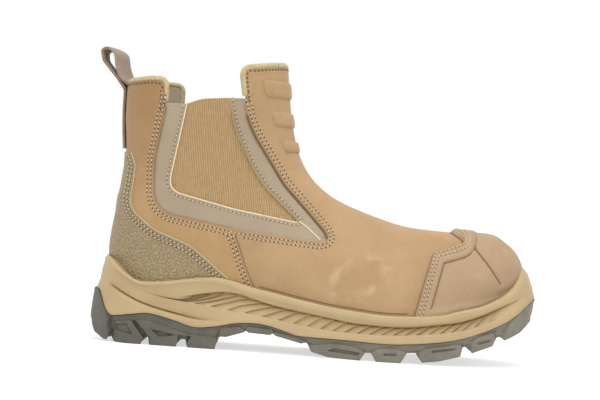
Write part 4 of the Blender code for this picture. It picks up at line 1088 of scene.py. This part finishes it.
def make_elastic():
    tree, shader, place = textured("elastic", (0.53, 0.355, 0.175), 0.85, Sheen_Weight=0.3)
    ribs = bands(tree, place, 0.00125, "X", 1.2, 1.2)
    weave = bands(tree, place, 0.0008, "Z", 2.0)
    tone = mix(tree, ribs, (0.25, 0.145, 0.055), (0.56, 0.37, 0.165))
    patches = mix(tree, spread(tree, noise(tree, place, 0.003), 0.3, 0.7), (0.34, 0.205, 0.083),
                  (0.52, 0.34, 0.155))
    surface(tree, shader, mix(tree, 0.35, tone, patches), (ribs, 1.0, 0.0005), (weave, 0.5, 0.0002))


def make_tape_material():
    tree, shader, place = textured("tape", (0.36, 0.26, 0.175), 0.85, Sheen_Weight=0.3)
    ribs = bands(tree, place, 0.0014, "Y", 0.3)
    weave = bands(tree, place, 0.0009, "Z", 0.6)
    tone = mix(tree, ribs, (0.14, 0.088, 0.050), (0.34, 0.240, 0.160))
    tone = mix(tree, 0.3, tone, mix(tree, weave, (0.16, 0.102, 0.060), (0.33, 0.235, 0.155)))
    surface(tree, shader, tone, (ribs, 0.7, 0.0003), (weave, 0.5, 0.0002))


def make_outsole_material():
    tree, shader, place = textured("outsole_rubber", (0.185, 0.165, 0.135), 0.6)
    patches = spread(tree, noise(tree, place, 0.012, 5.0), 0.3, 0.7)
    tone = mix(tree, spread(tree, axis(tree, place, "X"), -0.10, 0.05),
               mix(tree, patches, (0.072, 0.068, 0.052), (0.102, 0.096, 0.074)),
               mix(tree, patches, (0.135, 0.122, 0.094), (0.195, 0.175, 0.136)))
    surface(tree, shader, tone, (noise(tree, place, 0.0008, 3.0), 0.3, 0.00008))


def make_insole_material():
    tree, shader, place = textured("insole_foam", (0.10, 0.095, 0.09), 0.95)
    holes = spread(tree, spots(tree, place, 0.003, 0.15), 0.25, 0.45)
    surface(tree, shader, mix(tree, holes, (0.03, 0.03, 0.03), (0.13, 0.125, 0.12)),
            (holes, 0.5, 0.0004))


def leather_field(x, z):
    """Positive on the leather: outside both gores' opening and under the collar's cut."""
    return np.minimum(-side_outline_field(x, z, GORE_OPENING), -side_outline_field(x, z, COLLAR_CUT))


def make_upper():
    finished(panel("upper_skin", leather_field, -SKIN_DEPTH, 0.0, (0.0011, 0.0010), channels=CHANNELS),
             "nubuck", "upper")
    inside = panel("lining", lambda x, z: leather_field(x, z) - CLEAR, -SKIN_DEPTH, -UPPER_WALL,
                   (0.0009, 0.0009), fineness=0.6)
    finished(inside, "lining")
    quarter = panel("quarter", quarter_field, -CLEAR, QUARTER_WALL, (0.0009, 0.0008), (0, 1),
                    (-0.26, 0.26), CHANNELS)
    finished(quarter, "quarter")


def quarter_field(x, z):
    """The rear leather, which laps over the front one at the seam under the gore."""
    return np.minimum(leather_field(x, z), side_outline_field(x, z, QUARTER_OUTLINE))


def make_pads():
    for number, pad in enumerate(PADS, 1):
        edge = rounded((0.10, pad.top), (pad.rear_top, pad.top, PAD_CORNER),
                       (pad.rear_bottom, pad.bottom, PAD_CORNER), (0.10, pad.bottom))
        made = panel(f"shin_pad_{number}", lambda x, z: side_outline_field(x, z, edge),
                     -0.0003, PAD_RISE, (0.0035, 0.0017), (0.55, 1), (0.30, 0.70))
        finished(made, "pad_leather")


def gore_top(x):
    """Height of the gore's upper edge."""
    line = np.array(outline(GORE_TOP, GORE_TOP_SEGMENTS))
    return np.interp(x, line[:, 0], line[:, 1])


def behind_opening(x, z, lap):
    """Positive behind the gore's opening, a lap round it and up to the gore's upper edge."""
    return np.minimum(side_outline_field(x, z, GORE_OPENING) + lap, gore_top(x) - z)


def make_gores():
    def band_field(x, z):
        return np.minimum(behind_opening(x, z, 0.002), -side_outline_field(x, z, TRIM_INNER))

    def front_field(x, z):
        return np.minimum(band_field(x, z), side_outline_field(x, z, FRONT_BAND))

    def rear_field(x, z):
        return np.minimum(band_field(x, z), 0.0005 - side_outline_field(x, z, FRONT_BAND))

    deep = -GAP - TRIM_WALL - GAP
    for word, sides in GORE_SIDES:
        gore = panel(f"gore_{word}", lambda x, z: behind_opening(x, z, 0.0025), deep - GORE_WALL,
                     deep, (0.0006, 0.0006), GORE_RINGS, sides, closed=True, fineness=0.6)
        finished(gore, "elastic", f"gore_{word}")
        band = panel(f"gore_band_{word}", rear_field, deep, -0.0004, (0.0007, 0.0007), GORE_RINGS,
                     sides, CHANNELS[:1])
        finished(band, "trim_leather", f"gore_trim_{word}")
        front = panel(f"gore_front_band_{word}", front_field, deep, -0.0009, (0.0008, 0.0008),
                      GORE_RINGS, sides, CHANNELS[:1])
        finished(front, "trim_leather")


def make_counter():
    made = panel("heel_counter", lambda x, z: over_rim(x, z, COUNTER_OUTLINE), 0.0, COUNTER_TOP,
                 (0.0011, 0.0009), (0, 0.8), (-0.24, 0.24), CHANNELS)
    finished(made, "counter_leather", "heel_counter")


def rim_height(x):
    return level(RIM_LINE, x)


def over_rim(x, z, corners):
    """Positive inside an outline, down to a little below the midsole's rim."""
    return np.minimum(side_outline_field(x, z, corners), z - rim_height(x) + RIM_TUCK)


def make_toe_cap():
    def ridge(x, z, distance):
        """The stitched ridge along the cap's rear edge, and the crease in front of its corner."""
        band = np.clip(distance / 0.0015, 0, 1) * np.clip((RIDGE_WIDTH - distance) / 0.0008, 0, 1)
        crease = line_field(x, z, TOE_CREASE)
        return (TOE_RIDGE_RISE * band * band * (3 - 2 * band)
                - 0.0010 * np.exp(-(crease / 0.0014) ** 2) + 0.0006 * np.exp(-(crease / 0.004) ** 2))

    made = panel("toe_cap", lambda x, z: over_rim(x, z, TOE_CAP_OUTLINE), -CLEAR, TOE_CAP_WALL,
                 (0.0014, 0.0014), (0, 0.55), (0.24, 0.76), TOE_CHANNELS, swell=ridge, fineness=1.35)
    finished(made, "toe_cap", "toe_cap")


def make_bindings():
    for name, corners in (("collar_binding_rear", REAR_BINDING), ("collar_binding_front", FRONT_BINDING)):
        path = resample(collar_path(corners, 12), PATH_PITCH)
        made = sweep(name, path, BINDING_DIAMETER / 2, 12, taper_ends=True)
        finished(made, "binding", name)


def collar_path(corners, pieces):
    """Points of a binding: up one side, over the middle of the collar and down the other."""
    side_line = outline(corners)
    near, end = np.array(side_line[-2]), np.array(side_line[-1])
    shares = [(k / pieces) ** 2 for k in range(pieces - 1, -1, -1)]
    side_line = side_line[:-1] + [tuple(end + share * (near - end)) for share in shares]
    outer, inner = (on_skin(side_line, side, -UPPER_WALL / 2)[0] for side in (-1, 1))
    return np.concatenate([outer, inner[-2::-1]])


def foremost(points):
    """Which of a row of side-view points lies furthest forward."""
    return max(range(len(points)), key=lambda k: points[k][0])


def make_edge_lines():
    """The raw edge of the bands against the elastic, pale with a painted highlight along its raised edge,
    and the painted shadow in the gap at the opening's front.
    """
    hole = [p for p in outline(TRIM_INNER) if p[1] < gore_top(p[0])]
    tip = foremost(hole)
    opening = outline(GORE_OPENING)
    front = [p for p in opening[foremost(opening):] if p[1] < gore_top(p[0])]
    edges = (("raw_edge_and_highlight", hole[:tip + 1], 0.00055, -0.0009, "raw_edge_and_highlight"),
             ("band_seam", outline(FRONT_BAND_SEAM), 0.0005, -0.0005, "raw_edge_and_highlight"),
             ("band_edge", hole[tip:], 0.0005, -0.0004, "band_edge"),
             ("shadow_edge", front, 0.0008, -0.0005, "painted_gap_shadow"))
    for word, side in SIDES:
        for name, path, radius, offset, material_name in edges:
            line, out = on_skin(resample(path, PATH_PITCH), side, offset)
            made = sweep(f"{name}_{word}", line, radius, 8, out)
            finished(made, material_name)


def make_fine_lines():
    """Dark lines of painted shade at the toe cap's and the quarter's edges, the ridge's foot, the crease
    and over the rim's seam; and the counter's pale cut edge.
    """
    toe_edge = outline(TOE_CAP_OUTLINE[:6], LINE_SEGMENTS)
    ridge_foot = above_rim(beside(toe_edge, -RIDGE_WIDTH - 0.0002))
    x = np.linspace(-0.105, 0.225, 120) * LENGTH
    counter_edge = above_rim(outline(COUNTER_OUTLINE[1:7], LINE_SEGMENTS))
    quarter_edge = above_rim(outline(QUARTER_SEAM, LINE_SEGMENTS))
    rim_line = np.stack([x, rim_height(x) + 0.0016], 1)
    lines = (("toe_edge", above_rim(toe_edge), 0.0006, 0.0002, "painted_shade_line"),
             ("ridge_foot", ridge_foot, 0.0006, TOE_CAP_WALL + 0.0001, "painted_shade_line"),
             ("counter_edge", counter_edge, 0.0006, QUARTER_WALL + 0.0003, "cut_edge"),
             ("quarter_edge", quarter_edge, 0.00045, 0.0002, "painted_shade_line"),
             ("toe_crease", side_points(TOE_CREASE), 0.00045, TOE_CAP_WALL - 0.0001, "painted_shade_line"),
             ("rim_line", rim_line, 0.0004, 0.0, "painted_shade_line"))
    for name, path, radius, offset, material_name in lines:
        for word, side in SIDES:
            line, out = on_skin(resample(path, FINE_PITCH), side, offset)
            made = sweep(f"{name}_{word}", line, radius, 6, out, taper_ends=True)
            finished(made, material_name)


def above_rim(points):
    points = resample(points, OUTLINE_PITCH)
    return points[points[:, 1] > rim_height(points[:, 0])]


def make_stitches():
    rows = Stitches()
    opening = [p for p in outline(GORE_OPENING, LINE_SEGMENTS) if p[1] < height(0.86)]
    for distance in CHANNELS:
        line = beside(opening, -distance)
        for side in (-1, 1):
            rows.add_row(*on_skin(line, side, stitch_level(line)))
    for row in STITCH_ROWS:
        for distance in row.distances:
            line = beside(outline(row.corners, LINE_SEGMENTS), -distance)
            line = line[line[:, 1] > rim_height(line[:, 0]) - 0.0005]
            if row.corners[1] in TRIM_INNER:
                line = line[gore_top(line[:, 0]) - line[:, 1] > 0.001]
            for side in (-1, 1):
                rows.add_row(*on_skin(line, side, row.offset), row.hole, row.thread)
    rows.finish()


def stitch_level(line):
    """The leather's height under a line: the rear leather is thicker than the front."""
    rear = side_outline_field(line[:, 0], line[:, 1], QUARTER_OUTLINE)
    return np.where(rear > 0, QUARTER_WALL, 0.0) - CHANNEL_DEPTH * 0.3


def tape_path():
    """Middle line of the tape as rows of x, z and rest."""
    lift = 2 * GAP + TAPE_THICKNESS / 2
    outer = [(float(back_line(height(share))) - lift - QUARTER_WALL, height(share), 1.0)
             for share in OUTER_LEG]
    loop = [(p.x * LENGTH, height(p.z), p.rest) for p in LOOP]
    inside = UPPER_WALL + lift + GAP
    inner = [(float(back_line(height(share))) + inside, height(share), 1.0) for share in INNER_LEG]
    rows = np.array(outer + loop + inner)
    along = np.arange(len(rows), dtype=float)
    finer = np.linspace(0, along[-1], 8 * len(rows))
    columns = [smooth(list(zip(along, rows[:, k])), finer) for k in range(3)]
    return np.stack([*columns, smooth(TAPE_TURN, finer)], 1)


def back_sag(y, z):
    """How far forward of its middle the upper's back lies at y to the side."""
    rise = (z - SEAT_HEIGHT) / RISE
    share = np.clip(np.abs(y) / (smooth(SHAFT_WIDTH, rise) * BALL_WIDTH), 0, 0.999)
    return BACK_REACH * BALL_WIDTH * (1 - (1 - share ** BACK_POWER) ** (1 / BACK_POWER))


def make_pull_loop():
    path = tape_path()
    step = np.gradient(path[:, :2], axis=0)
    step /= np.linalg.norm(step, axis=1)[:, None]
    half, thick = TAPE_WIDTH / 2, TAPE_THICKNESS / 2
    width = [half * math.sin(angle) for angle in np.linspace(-1.35, 1.35, 13)]
    upper = [(y, thick * (1 - 0.35 * (abs(y) / half) ** 8)) for y in width]
    profile = [(-half, 0.0), *upper, (half, 0.0), *((y, -t) for y, t in upper[::-1])]
    points = []
    for (x, z, rest, degrees), (dx, dz) in zip(path, step):
        cos, sin = math.cos(math.radians(degrees)), math.sin(math.radians(degrees))
        for y, t in profile:
            across = rest * float(back_sag(y, z)) - dz * t
            points.append((x + across * cos + y * sin, y * cos - across * sin, z + dx * t))
    count = len(profile)
    faces = tube_faces(len(path), count)
    for start in (0, (len(path) - 1) * count):
        faces += [(start + j, start + j + 1, start + count - j - 1, start + (count - j) % count)
                  for j in range(1, count // 2)]
        faces.append((start, start + 1, start + count - 1))
    finished(tidy_mesh("pull_loop", points, faces, 40), "tape", "pull_loop")


def level(line, stations):
    return smooth(line, stations / LENGTH) * SOLE_HEIGHT


def straight(line, stations):
    """A line of straight runs between its rows."""
    return np.interp(stations / LENGTH, *zip(*line)) * SOLE_HEIGHT


def fine_stations(count, heel_end=-0.29, toe_start=0.42):
    """Places along the sole, close together at its ends."""
    heel_end, toe_start = heel_end * LENGTH, toe_start * LENGTH
    turn = np.linspace(0, math.pi / 2, 48)
    heel = -LENGTH / 2 + (heel_end + LENGTH / 2) * (1 - np.cos(turn))
    toe = LENGTH / 2 - (LENGTH / 2 - toe_start) * (1 - np.cos(turn))[::-1]
    return np.concatenate([heel[:-1], np.linspace(heel_end, toe_start, count), toe[1:]])


def between_rows(rows, steps):
    """More rows between given ones, along smooth curves at every station."""
    keys = np.arange(len(rows), dtype=float)
    fine = np.unique(np.concatenate([np.linspace(i, i + 1, step + 1) for i, step in enumerate(steps)]))
    return fine, [curve(keys, np.array(column), fine) for column in zip(*rows)]


def flute_phase(stations):
    """How many flutes lie behind each place. They come closer together towards the toe."""
    heel_end, toe_start = -0.29 * LENGTH, 0.44 * LENGTH
    s = np.clip((stations - heel_end) / (toe_start - heel_end), 0, 1)
    c = FLUTE_CROWDING
    return FLUTE_COUNT * ((1 + c) - np.sqrt((1 + c) ** 2 - 4 * c * s)) / (2 * c)


def midsole_lines(stations):
    """Heights of the midsole's lines, from its split with the rubber up to its rim."""
    split = level(SPLIT_LINE, stations)
    lobe = level(SWOOSH_LINE, stations) - split - LIP_HEIGHT
    swoosh = split + LIP_HEIGHT + np.maximum(lobe, 0) * (1 - ramp(stations / LENGTH, -0.17, -0.08))
    flute = np.maximum(level(FLUTE_LINE, stations), swoosh + 0.0018)
    groove = np.maximum(level(GROOVE_LINE, stations), flute + 0.0020)
    return split, swoosh, flute, groove, level(RIM_LINE, stations)


def midsole_rows(share, split, swoosh, flute, groove, rim):
    """Rows up the midsole's side: their heights and how far in from the sole's edge they lie."""
    heel = 1 - ramp(share, -0.26, -0.15)
    rear = 1 - ramp(share, -0.34, -0.24)
    fore = ramp(share, -0.26, -0.16)
    facet = COVE_DEPTH * (1 - ramp(share, -0.30, -0.17)) * ramp(share, -0.47, -0.42)
    cut = GROOVE_DEPTH * ramp(share, -0.295, -0.23) * (1 - ramp(share, 0.44, 0.50))
    body = 0.0010 + 0.0010 * (1 - ramp(share, -0.50, -0.40)) + 0.0004 * heel
    tuck = 0.0036 * ramp(share, 0.38, 0.50) + 0.0008 * (1 - ramp(share, -0.50, -0.42))
    band = RIM_BAND * (0.62 + 0.38 * ramp(share, -0.28, -0.12))
    band = np.minimum(band, 0.8 * (rim - groove))
    return (
        (split + GAP / 2, body - 0.0006),
        (split + 0.0011, body - 0.0011),
        (split + 0.45 * (swoosh - split), body - 0.0009),
        (swoosh - 0.0022, body - 0.0008),
        (swoosh - 0.0008, body - 0.0006 + 0.25 * facet),
        (swoosh - 0.0001, body - 0.0004 + 1.35 * facet),
        (swoosh + 0.0008, body - 0.0003 + 0.80 * facet),
        (flute, body + 0.20 * cut + 0.62 * facet * rear),
        (groove - 0.0009, body + cut + 0.50 * facet * rear),
        (groove, body + 1.45 * cut + 0.47 * facet * rear),
        (groove + 0.0009, body + 0.35 * cut + 0.43 * facet * rear + 0.0006 * fore),
        (rim - band, body + 0.0007 * fore - 0.0001 + 0.25 * tuck + 0.26 * facet),
        (rim - band + 0.0014, body - 0.0002 + 0.45 * tuck),
        (rim - 0.0015, body + 0.0001 + 0.75 * tuck),
        (rim - 0.0003, body + 0.0009 + 0.9 * tuck),
        (rim, body + 0.0021 + tuck),
        (rim - 0.0005, body + 0.0030 + tuck),
    )


def make_midsole():
    stations = fine_stations(SOLE_STATIONS)
    share = stations / LENGTH
    lines = midsole_lines(stations)
    split, _, flute, groove, rim = lines
    fine, (heights, insets) = between_rows(midsole_rows(share, *lines), MIDSOLE_STEPS)
    climb = np.clip((fine - FLUTE_ROW) / 1.5, 0, 1)[:, None]
    lean = REAR_FLUTE_LEAN + (FRONT_FLUTE_LEAN - REAR_FLUTE_LEAN) * ramp(share, -0.25, 0.05)
    lean = lean * ramp(share, -0.46, -0.20) * (1 - ramp(share, 0.38, 0.47))
    phase = flute_phase(stations)
    saw = phase - np.floor(phase)
    blade = np.where(saw < 0.12, saw / 0.12, ((1 - saw) / 0.88) ** 0.8)
    inside = ((fine > FLUTE_ROW) & (fine < FLUTE_ROW + FLUTE_ROWS))[:, None]
    strength = FLUTE_DEPTH * ramp(share, -0.285, -0.24) * (1 - ramp(share, 0.40, 0.46))
    loops = []
    for row, inset, rise, within in zip(heights, insets, climb, inside):
        under = -0.8 * np.clip((row - split) / (flute - split), 0, 1)
        over = np.clip((row - groove) / (rim - groove), 0, 1)
        part = (under + np.clip((row - flute) / (groove - flute), 0, 1)) * (1 - over)
        leaning = stations + lean * part
        depth = within * strength * (0.35 + 0.65 * rise ** 0.5)
        inset = np.interp(leaning, stations, inset) + depth * blade
        loops.append(sole_loop(leaning, inset, np.interp(leaning, stations, row)))
    loops += [into_wall(stations, insets[-1], heights[-1] - 0.0004),
              into_wall(stations, insets[-1], heights[-1] - 0.0040)]
    made = closed_tube("midsole", loops, cap_first=True)
    finished(made, "midsole_foam", "midsole")


def into_wall(stations, inset, heights):
    """A loop like the sole's at the inset, moved in until it lies inside the upper's wall."""
    best = sole_loop(stations, inset, heights)
    done = np.zeros(len(best), bool)
    for further in np.arange(0.0, 0.0125, 0.0005):
        loop = sole_loop(stations, inset + further, heights)
        reach = np.abs(loop[:, 1] - middle_line(loop[:, 0], loop[:, 2]))
        inside = reach < half_width(loop[:, 0], loop[:, 2]) - 0.0008
        best[~done] = loop[~done]
        done |= inside
    return best


def closed_tube(name, loops, cap_first=False, cap_last=False, sharp=42):
    """A tube of closed loops with equally many points."""
    count = len(loops[0])
    faces = tube_faces(len(loops), count)
    for wanted, start, order in ((cap_first, 0, -1), (cap_last, (len(loops) - 1) * count, 1)):
        if wanted:
            for j in range(count // 2):
                ends = [start + k % count for k in (j, j + 1, count - j - 1, count - j)]
                faces.append(tuple(ends[::order]))
    return tidy_mesh(name, np.concatenate(loops), faces, sharp)


def sole_loop(stations, inset, heights):
    """A closed loop round the sole at the stations, moved in by inset."""
    halves = []
    both = np.zeros((2, 1))
    for side, inset, heights in zip((-1, 1), both + inset, both + heights):
        edge = sole_edge(stations, side)
        middle = smooth(SWING, stations / LENGTH) * BALL_WIDTH
        line = np.stack([stations, middle + side * edge], 1)
        line[0, 1], line[-1, 1] = middle[0], middle[-1]
        step = np.gradient(line, axis=0)
        step[0], step[-1] = (0, side), (0, -side)
        step /= np.linalg.norm(step, axis=1)[:, None]
        inward = np.stack([step[:, 1], -step[:, 0]], 1) * side
        halves.append(np.column_stack([line + inward * inset[:, None], heights]))
    loop = np.concatenate([halves[0], halves[1][-2:0:-1]])
    share = loop[:, 0] / LENGTH
    loop[:, 0] += smooth(HEEL_LEAN, loop[:, 2]) * (1 - ramp(share, -0.50, -0.40))
    loop[:, 0] -= smooth(TOE_LEAN, loop[:, 2]) * ramp(share, 0.41, 0.50)
    return loop


def outsole_stations():
    """Places along the outsole: its ground line's corners and even steps between them."""
    corners = np.array([row[0] * LENGTH for row in LUG_GROUND])
    even = fine_stations(SOLE_STATIONS, -0.39, 0.33)
    gap = np.abs(even[:, None] - corners[None]).min(1)
    return np.unique(np.concatenate([even[gap > 0.0003], corners]))


def lug_places(x, y):
    """Where along LUG_GROUND a place is: the lugs run across the sole at a slant."""
    share = x / LENGTH
    fade = ramp(share, -0.465, -0.42) * (1 - ramp(share, 0.41, 0.46))
    return x + fade * LUG_SLANT * (y + BALL_WIDTH / 2)


def side_relief(x, z):
    """How far the outsole's side is sunk at x and z: the band over the lugs, and the hollows."""
    x, z = np.broadcast_arrays(x, z)
    shape = x.shape
    x, z = x.ravel(), z.ravel()
    sunk = LUG_STEP * ramp(z - straight(LUG_TOP, x), 0, 0.0007)
    for hollow in HOLLOWS:
        corners = [(a * LENGTH, b * SOLE_HEIGHT) for a, b in hollow.corners]
        inside = signed_distance(x, z, corners)
        sunk = np.maximum(sunk, hollow.depth * ramp(inside, 0, 0.0009))
    return sunk.reshape(shape)


def make_outsole():
    """The rubber outsole: its side with the lugs' relief, and its underside with the grooves."""
    stations = outsole_stations()
    leaning = lug_places(stations, np.array([[-1.0], [1.0]]) * BALL_WIDTH / 2)
    ground = straight(LUG_GROUND, leaning)
    split = level(SPLIT_LINE, stations) - GAP / 2
    thick = split - ground
    loops = [sole_loop(stations, np.full(len(stations), 0.004), split)]
    for t in np.linspace(1, 0, 34):
        heights = ground + t * thick
        from_top = (1 - t) * thick
        from_ground = t * thick
        inset = (0.0002 + 0.0016 * (1 - t) + side_relief(leaning, heights)
                 - 0.0005 * ramp(from_top, 0.0002, 0.0006) * (1 - ramp(from_top, 0.0012, 0.0018))
                 + 0.0006 * (1 - ramp(from_ground, 0, 0.0009)))
        loops.append(sole_loop(stations, inset, heights))
    loops += underside_loops(loops[-1])
    rubber = closed_tube("outsole", loops[::-1], True, True, 35)
    finished(rubber, "outsole_rubber", "outsole")


def underside_loops(edge):
    """Loops from the outsole's lower edge in to its middle, with the two long grooves."""
    middle = smooth(SWING, edge[:, 0] / LENGTH) * BALL_WIDTH
    apart = edge[:, 1] - middle
    groove = MIDDLE_GROOVE * BALL_WIDTH
    half = MIDDLE_GROOVE_WIDTH / 2
    zones = np.zeros(len(edge), bool)
    for start, end in GROOVE_ZONES:
        zones |= (edge[:, 0] > start * LENGTH) & (edge[:, 0] < end * LENGTH)
    loops = []
    for reach, raised in ((0.040, 0), (0.030, 0), (groove + half, 0), (groove + half - 0.0006, 1),
                          (groove - half + 0.0006, 1), (groove - half, 0), (0.010, 0), (0.004, 0)):
        loop = edge.copy()
        loop[:, 1] = middle + np.clip(apart, -reach, reach)
        under = straight(LUG_GROUND, lug_places(edge[:, 0], loop[:, 1]))
        under = edge[:, 2] + (under - edge[:, 2]) * ramp(edge[:, 0] / LENGTH, -0.47, -0.44)
        deep = raised * zones * (np.abs(apart) > groove)
        loop[:, 2] = np.where(deep, np.maximum(under, under * 0.3 + 0.8 * LUG_HEIGHT), under)
        loops.append(loop)
    return loops


def make_insole():
    """The footbed that lies in the upper, a little dished and with a rounded edge."""
    turns = np.linspace(0, 2 * math.pi, 241)[:-1]
    rim = upper_point(0.0, turns, -UPPER_WALL - INSOLE_GAP)
    middle = np.roll(rim[::-1], 1, 0)
    loops = []
    for inward, rise in FOOTBED_RINGS:
        loop = rim + inward * (middle - rim)
        loop[:, 2] += GAP + rise * INSOLE_THICKNESS
        loops.append(loop)
    footbed = closed_tube("insole", loops, True, True)
    finished(footbed, "insole_foam", "insole")


def make_floor():
    bpy.ops.mesh.primitive_plane_add(size=8)
    floor = bpy.context.object
    floor.name = "floor"
    floor.data.materials.append(MATERIALS["floor"])


def make_light(name, place, target, size, power):
    data = bpy.data.lights.new(name, "AREA")
    data.shape = "RECTANGLE"
    data.size, data.size_y = size
    data.energy = power
    light = bpy.data.objects.new(name, data)
    light.location = place
    light.rotation_euler = (Vector(target) - Vector(place)).to_track_quat("-Z", "Y").to_euler()
    bpy.context.scene.collection.objects.link(light)


def make_lights():
    make_light("top_light", (0.10, -0.25, 1.5), (0, 0, 0.08), (1.1, 1.1), 11)
    make_light("front_light", (-0.5, -1.6, 1.0), (0, 0, 0.08), (1.0, 1.0), 6.5)
    make_light("toe_light", (1.3, -0.7, 0.9), (0.05, 0, 0.08), (0.8, 0.8), 2.5)
    world = bpy.data.worlds.new("studio")
    world.use_nodes = True
    background = world.node_tree.nodes["Background"]
    background.inputs["Color"].default_value = (1, 1, 1, 1)
    background.inputs["Strength"].default_value = 1.0
    bpy.context.scene.world = world
    bpy.context.scene.view_settings.view_transform = "Standard"


def make_camera():
    yaw, roll = math.radians(CAMERA_YAW), math.radians(CAMERA_ROLL)
    away = Vector((math.sin(yaw), -math.cos(yaw), 0))
    right = Vector((math.cos(yaw), math.sin(yaw), 0))
    up = Vector((0, 0, 1))
    x_axis = math.cos(roll) * right + math.sin(roll) * up
    y_axis = math.cos(roll) * up - math.sin(roll) * right
    data = bpy.data.cameras.new("camera")
    data.sensor_width = SENSOR_MM
    data.lens = SENSOR_MM * CAMERA_DISTANCE / (MM_PER_PIXEL / 1000) / PHOTO_WIDTH
    data.shift_x = -(TARGET_PIXEL[0] - PHOTO_CENTRE[0]) / PHOTO_WIDTH
    data.shift_y = (TARGET_PIXEL[1] - PHOTO_CENTRE[1]) / PHOTO_WIDTH
    camera = bpy.data.objects.new("camera", data)
    place = Matrix((x_axis, y_axis, away)).transposed().to_4x4()
    place.translation = Vector(TARGET) + CAMERA_DISTANCE * away
    camera.matrix_world = place
    bpy.context.scene.collection.objects.link(camera)
    bpy.context.scene.camera = camera


def main():
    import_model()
    make_camera()
    make_lights()
    make_materials()
    make_floor()
    make_skin_table()
    make_upper()
    make_pads()
    make_gores()
    make_edge_lines()
    make_counter()
    make_toe_cap()
    make_fine_lines()
    make_bindings()
    make_pull_loop()
    make_midsole()
    make_outsole()
    make_insole()
    make_stitches()


main()
